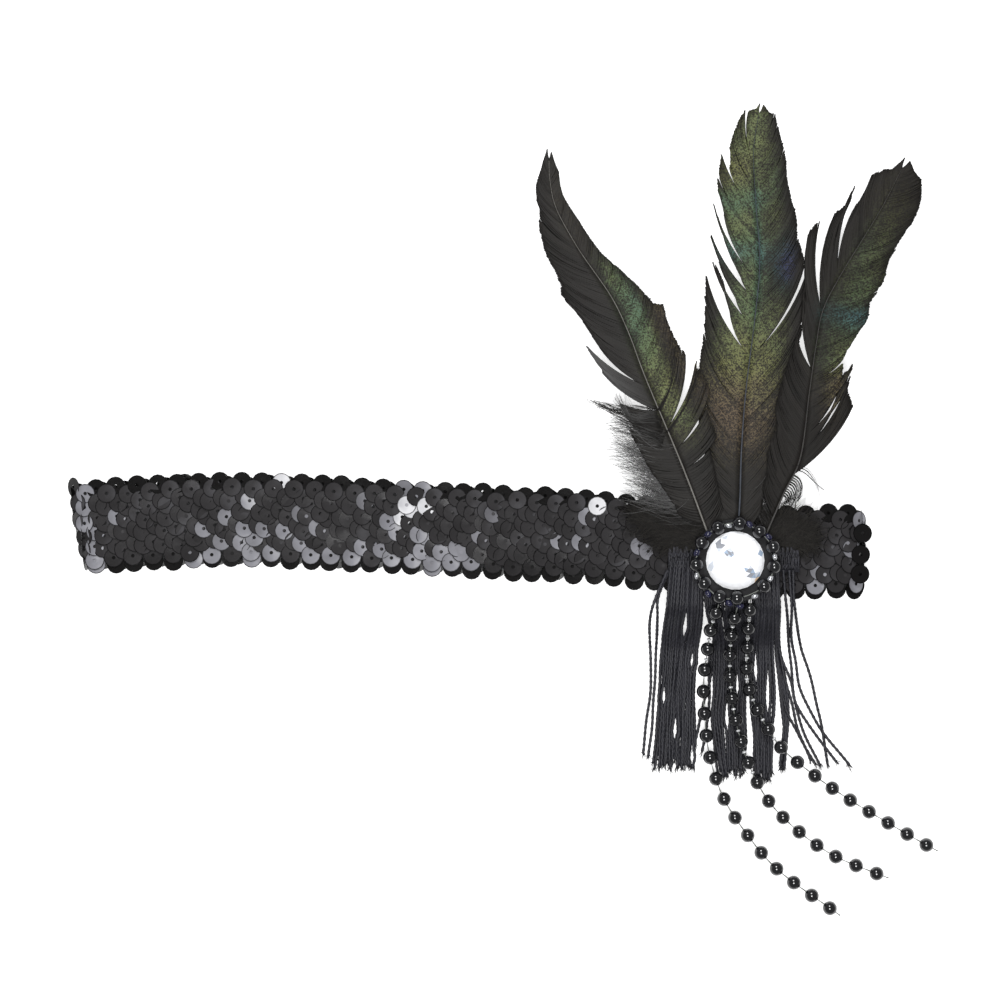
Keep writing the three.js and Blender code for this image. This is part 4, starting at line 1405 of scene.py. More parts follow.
@dataclass
class Feather:
    """A cock feather: a tapered quill with two vanes of single barbs."""

    node: str
    length: float
    root: float
    lift: tuple
    line: tuple
    left: tuple
    right: tuple
    glows: tuple
    downy: tuple
    wisps: tuple
    pale_lock: tuple
    quill_look: QuillFinish
    look: FeatherFinish
    seed: int
    arch: float = 9.0
    vane: float = 20.0
    camber: float = 0.8
    curl: float = 14.0
    felt_radius: float = 12.7
    barbs: int = 640
    steps: int = 9
    barb: float = 0.30
    full_reach: float = 1.2

    def __post_init__(self) -> None:
        """Works out the quill's line and level."""
        start = self.root * self.felt_radius
        self.route = Route([(start + x * self.length, y * self.length) for x, y in self.line])
        self.table = Table(list(self.lift))

    def level(self, along: np.ndarray | float) -> np.ndarray:
        """Returns the quill's level at these shares of its length."""
        return QUILL_LEVEL + self.arch * self.table.at(np.minimum(along, 1))

    def quill(self) -> None:
        """Makes the quill."""
        share = np.linspace(0, 0.985, 60)
        path = self.route.at(share)
        path[:, 2] = self.level(share) + 0.08
        radii = QUILL_DIAMETER / 2 * (0.66 - 0.58 * share**0.32)
        points, faces = strands(path[None], radii[None], round_profile(10))
        stock = MeshStock()
        stock.add(points, faces)
        made = stock.piece(self.node + "_quill", self.quill_look.material())
        finish_piece(made, Slot.FEATHER)

    def ribs_at(self, ribs: tuple, along: np.ndarray) -> tuple[np.ndarray, np.ndarray]:
        """Reads the reach and the angle of the barbs between the ribs of their lock.

        Args:
            ribs: the vane's ribs.
            along: where the barbs leave the quill.

        Returns:
            Each barb's reach and angle.
        """
        locks = sorted({rib.lock for rib in ribs})
        reach, angle, near = np.zeros_like(along), np.zeros_like(along), np.full_like(along, 9.0)
        for lock in locks:
            own = [rib for rib in ribs if rib.lock == lock]
            places = [rib.along for rib in own]
            gap = np.maximum(np.maximum(places[0] - along, along - places[-1]), 0)
            closer = gap < near
            near = np.where(closer, gap, near)
            reach = np.where(closer, np.interp(along, places, [rib.reach for rib in own]), reach)
            angle = np.where(closer, np.interp(along, places, [rib.angle for rib in own]), angle)
        return reach, angle

    def shine(self, along: np.ndarray, across: np.ndarray) -> tuple[np.ndarray, np.ndarray]:
        """Works out the painted sheen at places on the vanes.

        Args:
            along: their shares of the quill's length.
            across: their places from the left rim to the right one.

        Returns:
            How strong the sheen is, and its hue.
        """
        strength, hue = np.zeros_like(along), np.zeros_like(along)
        for glow in self.glows:
            far = ((along - glow.along) / glow.long) ** 2 + ((across - glow.across) / glow.wide) ** 2
            part = glow.strength * np.exp(-far)
            strength += part
            hue += part * glow.hue
        return np.clip(strength, 0, 1), hue / np.maximum(strength, 1e-6)

    def vane_barbs(self, stock: MeshStock, side: Side, draw: np.random.Generator) -> None:
        """Adds the barbs of one vane.

        Args:
            stock: what they are added to.
            side: which vane.
            draw: the source of chance.
        """
        ribs = self.left if side is Side.LEFT else self.right
        along = np.linspace(ribs[0].along - 0.02, 0.985, self.barbs)
        reach, angle = self.ribs_at(ribs, along)
        reach = reach * np.interp(along, [ribs[-1].along, 1.0], [1.0, 0.45])
        angle = angle * np.interp(along, [ribs[-1].along, 0.985], [1.0, 0.45])
        clump = np.cumsum(draw.random(self.barbs) < 0.07)
        shift = draw.normal(0, 1, (clump[-1] + 1, 2))
        angle = angle + 0.4 * shift[clump, 0] + 0.12 * draw.normal(size=self.barbs)
        reach = reach * (1 + 0.01 * shift[clump, 1] + 0.008 * draw.normal(size=self.barbs))
        heading = self.route.heading(along)
        start = self.route.at(along)
        span = reach * self.vane

        def aim(degrees: np.ndarray) -> np.ndarray:
            """Turns the quill's heading out to this vane's side.

            Args:
                degrees: how far, barb by barb.

            Returns:
                The directions.
            """
            turn = side.value * np.radians(degrees)
            x, y = heading[:, 0], heading[:, 1]
            cosine, sine = np.cos(turn), np.sin(turn)
            return np.stack([x * cosine - y * sine, x * sine + y * cosine, 0 * x], axis=-1)

        bend = start + aim(angle + self.curl) * (0.55 * span)[:, None]
        rim = start + aim(angle) * span[:, None]
        t = np.linspace(0, 1, self.steps)
        shares = ((1 - t) ** 2, 2 * t * (1 - t), t**2)
        paths = sum(ends[:, None] * share[None, :, None] for ends, share in zip((start, bend, rim), shares))
        forward = t[None] * (span * np.cos(np.radians(angle)) / self.length)[:, None]
        out = np.minimum((t[None] * reach[:, None]) ** 2, 1)
        paths[..., 2] = self.level(along[:, None] + forward) - self.camber * out
        ripple = 0.03 * np.sin(along * 900)[:, None]
        paths[..., 2] += 0.05 * draw.normal(size=self.barbs)[:, None] * t[None] + ripple
        taper = np.interp(t, [0, 0.1, 0.8, 1.0], [0.75, 1.0, 0.95, 0.6])
        radii = self.barb * np.outer(np.ones(self.barbs), taper)
        profile = np.array([(1.0, 0.0), (0.0, 0.34), (-1.0, 0.0)])
        points, faces = strands(paths, radii, profile)
        across = -side.value * t[None] * reach[:, None] / self.full_reach
        strength, hue = self.shine(np.broadcast_to(along[:, None] + forward, across.shape), across)
        per = len(profile)
        streak = 0.5 + 0.22 * draw.normal(size=clump[-1] + 1)[clump] + 0.16 * draw.normal(size=self.barbs)
        tone = np.repeat(np.clip(streak, 0, 1), self.steps * per)
        stock.add(
            points,
            faces,
            tone=tone,
            glow=np.repeat(strength.ravel(), per),
            hue=np.repeat(hue.ravel(), per),
            grey=np.repeat(self.pale(side, along)[:, None] * np.repeat(t, per)[None], 1).ravel(),
        )

    def pale(self, side: Side, along: np.ndarray) -> np.ndarray:
        """Reads how grey the barbs of a vane are.

        Args:
            side: which vane.
            along: where the barbs leave the quill.

        Returns:
            The share of grey, barb by barb.
        """
        low, high, shade = self.pale_lock
        inside = (along > low) & (along < high) & (side is Side.LEFT)
        return np.where(inside, shade, 0.0)

    def make(self) -> None:
        """Makes the feather."""
        draw = np.random.default_rng(self.seed)
        stock = MeshStock()
        self.vane_barbs(stock, Side.LEFT, draw)
        self.vane_barbs(stock, Side.RIGHT, draw)
        self.fluff(stock, draw)
        self.loose_hairs(stock, draw)
        made = stock.piece(self.node + "_vanes", self.look.material())
        finish_piece(made, Slot.FEATHER, self.node)
        self.quill()

    def fluff(self, stock: MeshStock, draw: np.random.Generator) -> None:
        """Adds the loose downy barbs near the root.

        Args:
            stock: what they are added to.
            draw: the source of chance.
        """
        steps = 8
        t = np.linspace(0, 1, steps)
        for low, high, side, count, reach, angle, grey in self.downy:
            along = draw.uniform(low, high, count)
            start, heading = self.route.at(along), self.route.heading(along)
            turn = side * np.radians(angle + 12 * draw.normal(size=count))
            x, y = heading[:, 0], heading[:, 1]
            away = np.stack(
                [x * np.cos(turn) - y * np.sin(turn), x * np.sin(turn) + y * np.cos(turn), 0 * x], axis=-1
            )
            sideways = np.stack([-away[:, 1], away[:, 0], 0 * x], axis=-1)
            span = reach * draw.uniform(0.5, 1.1, count)
            wave = draw.normal(0, 0.09, count) * span
            bend = -side * 0.22 * span[:, None] * t[None] ** 2 + wave[:, None] * np.sin(4 * t)[None]
            paths = start[:, None] + away[:, None] * (t[None, :, None] * span[:, None, None])
            paths = paths + sideways[:, None] * bend[..., None]
            stray = 0.3 * draw.normal(size=count)[:, None]
            paths[..., 2] = self.level(along)[:, None] - 0.9 * t[None] + stray * t
            radii = np.outer(draw.uniform(0.07, 0.13, count), 1 - 0.7 * t)
            points, faces = strands(paths, radii, round_profile(3))
            shade = np.clip(grey + 0.25 * draw.normal(size=count), 0, 1)
            stock.add(
                points,
                faces,
                tone=0.5,
                glow=0.0,
                hue=0.0,
                grey=np.repeat(shade, steps * 3) * np.tile(np.repeat(0.3 + 0.7 * t, 3), count),
            )

    def loose_hairs(self, stock: MeshStock, draw: np.random.Generator) -> None:
        """Adds the wisps.

        Args:
            stock: what they are added to.
            draw: the source of chance.
        """
        steps = 12
        t = np.linspace(0, 1, steps)
        for wisp in self.wisps:
            line = Route(list(wisp.points)).at(t)
            side = unit(np.cross(UP, np.gradient(line, axis=0)))
            off = draw.normal(0, 1, (wisp.hairs, 2))
            reach = draw.uniform(0.8, 1.0, wisp.hairs)
            paths = np.repeat(line[None], wisp.hairs, axis=0)
            for n in range(wisp.hairs):
                own = Route(list(wisp.points)).at(t * reach[n])
                away = off[n, 0] * wisp.start_spread * (1 - t) + off[n, 1] * wisp.end_spread * t**1.5
                paths[n] = own + side * away[:, None]
                paths[n, :, 2] = self.level(own[:, 1] / self.length) - 0.5 * t + 0.15 * off[n, 0]
            radii = np.outer(draw.uniform(0.07, 0.14, wisp.hairs), 1 - 0.6 * t)
            points, faces = strands(paths, radii, round_profile(3))
            grey = wisp.grey * np.tile(np.repeat(t**0.7, 3), wisp.hairs)
            stock.add(points, faces, tone=0.3, glow=0.0, hue=0.0, grey=grey)


OUTER_CURL = np.array([(17.6, 26.6), (20.0, 25.0), (20.8, 22.0), (19.3, 17.4)])
INNER_CURL = np.array([(14.2, 20.2), (15.5, 19.8), (16.1, 18.6), (15.2, 16.8)])


def curls(count: int) -> list[Wisp]:
    """Lists the fan of curled hairs at the right quill's root.

    Args:
        count: how many curls, from the outer one inwards.

    Returns:
        The wisps.
    """
    lines = [OUTER_CURL + (INNER_CURL - OUTER_CURL) * share for share in np.linspace(0, 1, count)]
    return [Wisp(tuple(map(tuple, line)), 7, 0.16, 0.3) for line in lines]


def plumes() -> list[Feather]:
    """Lists the three feathers.

    Returns:
        The feathers, the middle one first, because the others lie over it.
    """
    left = Feather(
        node="feather_left",
        length=138,
        root=-0.4,
        lift=SIDE_LIFT,
        line=(
            (0, 0), (-0.03, 0.08), (-0.08, 0.21), (-0.165, 0.415), (-0.2, 0.51), (-0.235, 0.585),
            (-0.315, 0.705), (-0.364, 0.8), (-0.375, 0.86), (-0.377, 0.915),
        ),
        left=(
            Rib(0, 0.11, 0.42, 50), Rib(0, 0.22, 0.55, 64), Rib(0, 0.29, 0.62, 60),
            Rib(1, 0.315, 0.55, 58), Rib(1, 0.35, 0.62, 56),
            Rib(2, 0.37, 1.05, 33), Rib(2, 0.41, 1.15, 34),
            Rib(3, 0.42, 0.95, 29), Rib(3, 0.53, 1.18, 38), Rib(3, 0.61, 1.08, 34),
            Rib(3, 0.69, 0.95, 27), Rib(3, 0.78, 0.8, 13), Rib(3, 0.93, 0.33, 17),
        ),
        right=(
            Rib(0, 0.08, 0.45, 52), Rib(0, 0.21, 0.5, 74),
            Rib(1, 0.225, 0.72, 66), Rib(1, 0.26, 0.8, 60),
            Rib(2, 0.27, 1.05, 52), Rib(2, 0.31, 1.12, 46),
            Rib(3, 0.32, 1.15, 37), Rib(3, 0.345, 1.15, 35),
            Rib(4, 0.37, 1, 40), Rib(4, 0.44, 1.15, 35), Rib(4, 0.5, 0.8, 39), Rib(4, 0.6, 0.52, 45),
            Rib(4, 0.69, 0.37, 45), Rib(4, 0.78, 0.4, 35), Rib(4, 0.93, 0.25, 36),
        ),
        glows=(
            Glow(0.66, 0.2, 0.05, 0.13, 0.42, 0.5), Glow(0.58, 0.22, 0.08, 0.15, 0.6, 0.8),
            Glow(0.46, 0.24, 0.1, 0.17, 0.36, 0.9), Glow(0.36, 0.22, 0.06, 0.16, 0.25, 0.5),
            Glow(0.85, 0.12, 0.1, 0.3, 0.0, 0.07), Glow(0.5, 0.8, 0.2, 0.25, 0.05, 0.3),
        ),
        downy=(
            (0.12, 0.28, 1, 800, 21, 66, 0.7), (0.08, 0.32, 1, 520, 17, 62, 0.12),
            (0.06, 0.2, -1, 160, 9, 62, 0.1),
        ),
        wisps=(
            Wisp(((-22.5, 42.5), (-32.6, 44.4), (-46.1, 49.8)), 36, 2.0, 0.45),
            Wisp(((-22.0, 40.5), (-31.5, 43.6), (-42.5, 48.6)), 26, 1.8, 0.7),
            Wisp(((-23.9, 45.4), (-32.0, 44.6), (-37.0, 51.8)), 26, 1.8, 1.0, 0.35),
            Wisp(((-21.5, 38.5), (-31.0, 41.0), (-40.7, 41.7)), 34, 2.4, 1.3, 0.4),
            Wisp(((-24.6, 46.6), (-31.0, 47.6), (-38.0, 46.6)), 5, 0.4, 1.2, 0.1),
            Wisp(((-20.1, 38.8), (-15, 47), (-11.1, 60.1)), 40, 1.0, 0.5),
            Wisp(((-23.0, 46.0), (-19.5, 54), (-18.2, 66.5)), 26, 0.6, 0.6),
        ),
        pale_lock=(0.36, 0.415, 0.3),
        quill_look=QuillFinish("quill_left", (0.08, 0.075, 0.068), (0.24, 0.23, 0.21)),
        look=FeatherFinish(),
        seed=41,
    )
    middle = Feather(
        node="feather_middle",
        length=142,
        root=0.01,
        lift=MIDDLE_LIFT,
        line=(
            (0, 0), (0.01, 0.11), (0.015, 0.245), (0.025, 0.37), (0.045, 0.525), (0.057, 0.65),
            (0.05, 0.775), (0.046, 0.9), (0.06, 0.99),
        ),
        left=(
            Rib(0, 0.06, 0.5, 44), Rib(0, 0.11, 0.75, 42), Rib(0, 0.22, 1.15, 38), Rib(0, 0.36, 1.3, 33),
            Rib(0, 0.44, 1.45, 35),
            Rib(1, 0.45, 0.8, 30), Rib(1, 0.475, 1.08, 32), Rib(1, 0.505, 1.2, 37),
            Rib(2, 0.515, 0.55, 36), Rib(2, 0.535, 1.0, 38), Rib(2, 0.566, 1.27, 41),
            Rib(3, 0.575, 0.45, 40), Rib(3, 0.587, 1.0, 37), Rib(3, 0.608, 1.42, 34),
            Rib(4, 0.613, 1.17, 31), Rib(4, 0.68, 1.12, 32), Rib(4, 0.76, 1.07, 26),
            Rib(5, 0.77, 0.82, 26), Rib(5, 0.81, 0.83, 24), Rib(5, 0.87, 0.9, 7),
            Rib(6, 0.874, 0.84, 4), Rib(6, 0.96, 0.28, 10),
        ),
        right=(
            Rib(0, 0.07, 0.6, 34), Rib(0, 0.14, 1.05, 32), Rib(0, 0.26, 1.2, 31),
            Rib(1, 0.28, 1.45, 34), Rib(1, 0.44, 1.55, 27),
            Rib(2, 0.45, 1.65, 23), Rib(2, 0.59, 1, 33), Rib(2, 0.65, 0.97, 34), Rib(2, 0.76, 0.9, 35),
            Rib(2, 0.83, 0.78, 38), Rib(2, 0.868, 0.76, 32),
            Rib(3, 0.87, 0.76, 30), Rib(3, 0.9, 0.7, 27),
            Rib(4, 0.903, 0.68, 25), Rib(4, 0.94, 0.42, 27), Rib(4, 0.965, 0.27, 34),
        ),
        glows=(
            Glow(0.89, -0.35, 0.09, 0.45, 0.33, 0.9), Glow(0.8, -0.4, 0.025, 0.45, 0.78, 0.7),
            Glow(0.74, -0.4, 0.05, 0.4, 0.35, 0.85), Glow(0.68, -0.35, 0.028, 0.42, 0.75, 0.75),
            Glow(0.6, -0.15, 0.07, 0.24, 0.42, 0.85), Glow(0.47, -0.2, 0.07, 0.42, 0.4, 0.8),
            Glow(0.37, -0.1, 0.06, 0.6, 0.05, 0.7), Glow(0.29, 0.0, 0.06, 0.6, 0.0, 0.45),
            Glow(0.66, 0.55, 0.04, 0.22, 1.0, 0.45), Glow(0.82, 0.3, 0.1, 0.22, 0.42, 0.3),
            Glow(0.5, 0.4, 0.1, 0.3, 0.35, 0.45), Glow(0.96, -0.1, 0.05, 0.3, 0.3, 0.6),
            Glow(0.68, 0.0, 0.18, 0.06, 0.95, 0.35),
        ),
        downy=((0.06, 0.2, 1, 160, 12, 60, 0.1), (0.06, 0.2, -1, 160, 12, 60, 0.1)),
        wisps=(),
        pale_lock=(0.0, 0.0, 0.0),
        quill_look=QuillFinish("quill_middle", (0.02, 0.024, 0.03), (0.07, 0.08, 0.105)),
        look=FeatherFinish("cock_feather_middle", 0.26),
        seed=43,
    )
    right = Feather(
        node="feather_right",
        length=134,
        root=0.5,
        lift=SIDE_LIFT,
        line=(
            (0, 0), (0.03, 0.07), (0.067, 0.157), (0.1, 0.225), (0.125, 0.39), (0.14, 0.49),
            (0.157, 0.575), (0.195, 0.65), (0.3, 0.82), (0.352, 0.92),
        ),
        left=(
            Rib(0, 0.13, 0.5, 42), Rib(0, 0.19, 0.73, 50), Rib(0, 0.24, 0.86, 42), Rib(0, 0.32, 0.78, 35),
            Rib(0, 0.45, 0.62, 30),
            Rib(1, 0.47, 1.3, 12), Rib(1, 0.59, 1.45, 17),
            Rib(2, 0.6, 1.57, 9), Rib(2, 0.67, 1.5, 19),
            Rib(3, 0.69, 1.23, 15), Rib(3, 0.8, 0.98, 24), Rib(3, 0.86, 0.74, 22), Rib(3, 0.93, 0.34, 22),
        ),
        right=(
            Rib(0, 0.24, 1.37, 15), Rib(0, 0.265, 1.32, 21),
            Rib(1, 0.272, 1.22, 18.5), Rib(1, 0.3, 1.2, 28),
            Rib(2, 0.308, 1.1, 24), Rib(2, 0.35, 1.05, 37),
            Rib(3, 0.375, 0.7, 42), Rib(3, 0.43, 0.58, 51), Rib(4, 0.437, 0.62, 46), Rib(4, 0.53, 0.88, 56),
            Rib(4, 0.6, 0.9, 52), Rib(4, 0.68, 0.87, 38), Rib(4, 0.76, 0.93, 33), Rib(4, 0.87, 0.7, 40),
            Rib(4, 0.93, 0.5, 42), Rib(4, 0.965, 0.28, 42),
        ),
        glows=(
            Glow(0.6, 0.45, 0.03, 0.4, 0.78, 0.45), Glow(0.7, 0.4, 0.08, 0.32, 0.4, 0.45),
            Glow(0.52, 0.45, 0.05, 0.35, 0.42, 0.45), Glow(0.42, 0.5, 0.05, 0.25, 0.02, 0.5),
            Glow(0.82, 0.25, 0.07, 0.28, 0.4, 0.2), Glow(0.92, 0.1, 0.06, 0.5, 0.1, 0.05),
        ),
        downy=((0.06, 0.2, 1, 160, 9, 60, 0.1),),
        wisps=(
            *curls(10),
            Wisp(((17.6, 28.4), (21.5, 28.0), (24.6, 24.4), (26.4, 19.0)), 6, 0.2, 0.35),
            Wisp(((17.6, 28.0), (21.0, 27.2), (25.2, 23.4), (28.6, 20.6)), 4, 0.2, 0.3),
        ),
        pale_lock=(0.0, 0.0, 0.0),
        quill_look=QuillFinish("quill_right", (0.012, 0.012, 0.012), (0.06, 0.055, 0.05)),
        look=FeatherFinish("cock_feather_right", 0.19),
        seed=47,
    )
    return [middle, left, right]


# The rosette and the strings.


class RingBead(NamedTuple):
    """A bead of the ring: its turn from +X and how far it sits off the ring's circle."""

    turn: float
    stray: float

    def spot(self) -> tuple[float, float, float]:
        """Returns the bead's place."""
        turn, reach = math.radians(self.turn), RING_RADIUS + max(self.stray * BEAD_DIAMETER, 0)
        return reach * math.cos(turn), reach * math.sin(turn), RING_LEVEL


RING_BEADS = (
    RingBead(20, 0.16), RingBead(51, 0), RingBead(84, -0.06), RingBead(118, -0.04), RingBead(152, 0.04),
    RingBead(186, 0.14), RingBead(216, 0.08), RingBead(246, 0.14), RingBead(272, -0.05),
    RingBead(318, 0.04), RingBead(351, 0.1),
)

SEED_BEADS = (
    (-8.4, 8.1, 0), (-2.1, 10.8, 1), (4.3, 11.1, 0), (10.1, 7.3, 0), (12.1, 1.1, 1), (10.7, -5.5, 1),
    (5.9, -11.0, 1), (-2.0, -13.1, 0), (1.4, -13.9, 0), (-8.4, -10.2, 0), (-11.9, -4.6, 1), (-11.9, 2.4, 0),
)


class StoneRow(NamedTuple):
    """A ring of the stone's corners: shares of its radius and height, and its turn in facets."""

    reach: float
    rise: float
    turn: float


STONE_ROWS = (
    StoneRow(1.0, 0.0, 0.0),
    StoneRow(1.0, 0.14, 0.0),
    StoneRow(0.91, 0.4, 0.5),
    StoneRow(0.78, 0.63, 0.0),
    StoneRow(0.64, 0.8, 0.5),
    StoneRow(0.5, 0.91, 0.0),
    StoneRow(0.34, 0.98, 0.5),
    StoneRow(0.2, 1.0, 0.0),
)


class StoneGlint(NamedTuple):
    """Where the foil's facets get a painted reflection colour, in millimetres from the stone's axis."""

    x: float
    y: float
    reach: float
    colours: tuple


PALE = (0.97, 0.98, 1.0)
GREY = (0.26, 0.27, 0.30)
MIST = (0.62, 0.66, 0.72)
BLUE = (0.33, 0.42, 0.55)
AMBER = (0.85, 0.6, 0.35)

STONE_GLINTS = (
    StoneGlint(-5.0, 4.6, 1.3, (GREY, GREY, MIST)),
    StoneGlint(-2.2, 2.3, 1.3, (BLUE, GREY, MIST)),
    StoneGlint(1.2, 7.5, 0.8, (AMBER, PALE)),
    StoneGlint(-3.1, 6.8, 0.9, (MIST, PALE)),
    StoneGlint(8.3, 2.5, 1.0, (AMBER, BLUE)),
    StoneGlint(5.2, -3.4, 2.4, (GREY, PALE, BLUE, PALE, MIST)),
    StoneGlint(7.0, -4.6, 1.2, (AMBER, PALE, MIST)),
    StoneGlint(-7.9, -1.8, 1.0, (MIST, PALE)),
)


@dataclass
class Rosette:
    """The stone on its felt disc, in its ring of beads and seed beads."""

    felt_radius: float = 12.7
    stone_height: float = 4.8
    thread: float = 0.35

    def felt(self) -> None:
        """Models the felt disc: a turned edge and a slightly uneven outline."""
        Bench.clear()
        bpy.ops.mesh.primitive_cylinder_add(
            vertices=72,
            radius=self.felt_radius * MM,
            depth=FELT_WALL * MM,
            location=(0, 0, (FELT_LEVEL + FELT_WALL / 2) * MM),
        )
        disc = bpy.context.object
        disc.name = disc.data.name = "felt_disc"
        bpy.ops.object.transform_apply(location=True, rotation=False, scale=False)
        soft = disc.modifiers.new("edge", "BEVEL")
        soft.width = 0.3 * MM
        soft.segments = 3
        soft.limit_method = "ANGLE"
        bpy.ops.object.modifier_apply(modifier="edge")
        draw = np.random.default_rng(5)
        wobble = draw.normal(0, 0.006, 72)
        for vertex in disc.data.vertices:
            if math.hypot(vertex.co.x, vertex.co.y) > 0.9 * self.felt_radius * MM:
                turn = math.atan2(vertex.co.y, vertex.co.x)
                stretch = 1 + wobble[round(turn / (2 * math.pi) * 72) % 72]
                vertex.co.x *= stretch
                vertex.co.y *= stretch
        disc.data.materials.append(FeltFinish().material())
        finish_piece(disc, Slot.FELT, "felt_backing")

    def stone(self) -> None:
        """Models the cut stone: rings of facets round a small table, over a foil-backed base."""
        radius = STONE_DIAMETER / 2
        sides = 22
        rings = [
            [
                (
                    row.reach * radius * math.cos(2 * math.pi * (k + row.turn) / sides),
                    row.reach * radius * math.sin(2 * math.pi * (k + row.turn) / sides),
                    STONE_LEVEL + 0.1 + row.rise * (self.stone_height - 0.1),
                )
                for k in range(sides)
            ]
            for row in STONE_ROWS
        ]
        faces = []
        for r, (lower, upper) in enumerate(zip(STONE_ROWS[:-1], STONE_ROWS[1:])):
            for k in range(sides):
                after = (k + 1) % sides
                low, high = r * sides, (r + 1) * sides
                if upper.turn == lower.turn:
                    faces.append([low + k, low + after, high + after, high + k])
                elif upper.turn > lower.turn:
                    faces += [[low + k, low + after, high + k], [low + after, high + after, high + k]]
                else:
                    faces += [[low + k, low + after, high + after], [low + k, high + after, high + k]]
        faces.append([(len(STONE_ROWS) - 1) * sides + k for k in range(sides)])
        faces.append(list(range(sides))[::-1])
        stock = MeshStock()
        stock.add(np.array([p for ring in rings for p in ring]), faces)
        made = stock.piece("cut_stone", StoneFinish().material(), smooth=False)
        draw = np.random.default_rng(17)
        painted_flash = made.data.attributes.new("painted_flash", "FLOAT_COLOR", "FACE")
        # Painted reflections: facets near a StoneGlint take one of its colours, all others near white.
        for face, cell in zip(made.data.polygons, painted_flash.data):
            middle = face.center / MM
            near = [g for g in STONE_GLINTS if math.hypot(middle.x - g.x, middle.y - g.y) < g.reach]
            colours = near[0].colours if near else (PALE,)
            colour = draw.choice(len(colours)) if near else 0
            cell.color = (*colours[colour], 1.0)
        finish_piece(made, Slot.STONE, "centre_stone")

    def beads(self) -> None:
        """Makes the ring of round beads and its seed beads."""
        shape, faces = Bench.bead(BEAD_DIAMETER, 1.0, 24, 14)
        stock = MeshStock()
        for bead in RING_BEADS:
            along = np.array([-math.sin(math.radians(bead.turn)), math.cos(math.radians(bead.turn)), 0])
            stock.add(np.array(bead.spot()) + shape @ axes_along(along), faces)
        black = GlossFinish("black_bead", (0.006, 0.006, 0.007), (0.009, 0.009, 0.011), index=1.65)
        made = stock.piece("ring_beads", black.material())
        finish_piece(made, Slot.BEADS, "bead_ring")
        tie = Route([bead.spot() for bead in (*RING_BEADS, RING_BEADS[0])])
        path = tie.at(np.linspace(0, 1, 90))[None]
        points, tube = strands(path, np.full((1, 90), self.thread / 2), round_profile(6))
        thread = MeshStock()
        thread.add(points, tube)
        made = thread.piece("ring_thread", thread_finish())
        finish_piece(made, Slot.BEADS)
        self.seeds()

    def seeds(self) -> None:
        """Makes the navy and the silver seed beads between the round ones."""
        shape, faces = Bench.bead(1.0, 0.3, 12, 8)
        looks = (
            GlossFinish("navy_seed", (0.010, 0.010, 0.030), (0.022, 0.022, 0.062), 0.1),
            GlossFinish("silver_seed", (0.30, 0.31, 0.34), (0.75, 0.76, 0.78), 0.12, 0.6),
        )
        for kind, look in enumerate(looks):
            stock = MeshStock()
            for x, y, chosen in SEED_BEADS:
                if chosen == kind:
                    turn = math.atan2(y, x) + math.pi / 2 + 0.4 * math.sin(7 * x)
                    size = np.array([2.6, 1.9, 1.9]) if kind == 0 else np.array([2.4, 1.5, 1.5])
                    axes = axes_along(np.array([math.cos(turn), math.sin(turn), 0]))
                    stock.add(np.array([x, y, RING_LEVEL - 0.4]) + (shape * size) @ axes, faces)
            made = stock.piece("navy_seeds" if kind == 0 else "silver_seeds", look.material())
            finish_piece(made, Slot.BEADS)

    def make(self) -> None:
        """Makes the rosette."""
        self.felt()
        self.stone()
        self.beads()


def thread_finish() -> bpy.types.Material:
    """Returns the finish of the sewing thread: grey green and lightly glossy."""
    name = "bead_thread"
    if name in bpy.data.materials:
        return bpy.data.materials[name]
    return GlossFinish(name, (0.09, 0.10, 0.09), (0.2, 0.21, 0.19), 0.35, scale=900.0).material()


def spacer_finish() -> bpy.types.Material:
    """Returns the finish of the clear spacer beads, painted pale grey to near white as a highlight."""
    name = "clear_spacer"
    if name in bpy.data.materials:
        return bpy.data.materials[name]
    # Painted highlight: the clear spacers get a pale grey to near-white base colour for their shine.
    return GlossFinish(name, (0.42, 0.43, 0.44), (0.85, 0.86, 0.87), 0.1, metallic=0.1).material()


@dataclass
class BeadString:
    """A string of round beads on its thread."""

    node: str
    turn: float
    at_bead: bool
    lead: float
    beads: int
    points: tuple
    spacers: int
    reach: float = 110.0
    gap: float = 2.5
    thread: float = 0.34
    tail: float = 1.8

    def make(self) -> None:
        """Makes the beads and the thread."""
        turn = math.radians(self.turn)
        tie = RING_RADIUS + SEAT + 0.35 + (BEAD_DIAMETER / 2 if self.at_bead else 0.4)
        tied = (tie * math.cos(turn), tie * math.sin(turn), RING_LEVEL)
        route = Route([tied, *[(x * self.reach, y * self.reach, z) for x, y, z in self.points]])
        shape, faces = Bench.bead(BEAD_DIAMETER, 1.0, 24, 14)
        stock = MeshStock()
        first = self.lead + BEAD_DIAMETER / 2
        pitch = BEAD_DIAMETER + self.gap
        for n in range(self.beads):
            share = (first + n * pitch) / route.length
            spot = route.at(share)
            spot[2] = max(spot[2], FLOOR_BEAD + 0.02)
            stock.add(spot + shape @ axes_along(route.heading(share)), faces)
        black = bpy.data.materials["black_bead"]
        made = stock.piece(self.node + "_beads", black)
        finish_piece(made, Slot.BEADS, self.node)
        ring, ring_faces = Bench.bead(1.4, 0.5, 10, 6)
        small = MeshStock()
        for n in range(self.spacers):
            share = (first + (n + 0.5) * pitch) / route.length
            turned = (ring * np.array([0.6, 1, 1])) @ axes_along(route.heading(share))
            small.add(route.at(share) + turned, ring_faces)
        made = small.piece(self.node + "_spacers", spacer_finish())
        finish_piece(made, Slot.BEADS)
        end = (first + (self.beads - 1) * pitch + BEAD_DIAMETER / 2 + self.tail) / route.length
        steps = 240
        path = route.at(np.linspace(0, end, steps))[None]
        wobble = 1 + 0.25 * np.sin(np.arange(steps) * 0.9)
        points, tube = strands(path, self.thread / 2 * wobble[None], round_profile(6))
        thread = MeshStock()
        thread.add(points, tube)
        made = thread.piece(self.node + "_thread", thread_finish())
        finish_piece(made, Slot.BEADS)


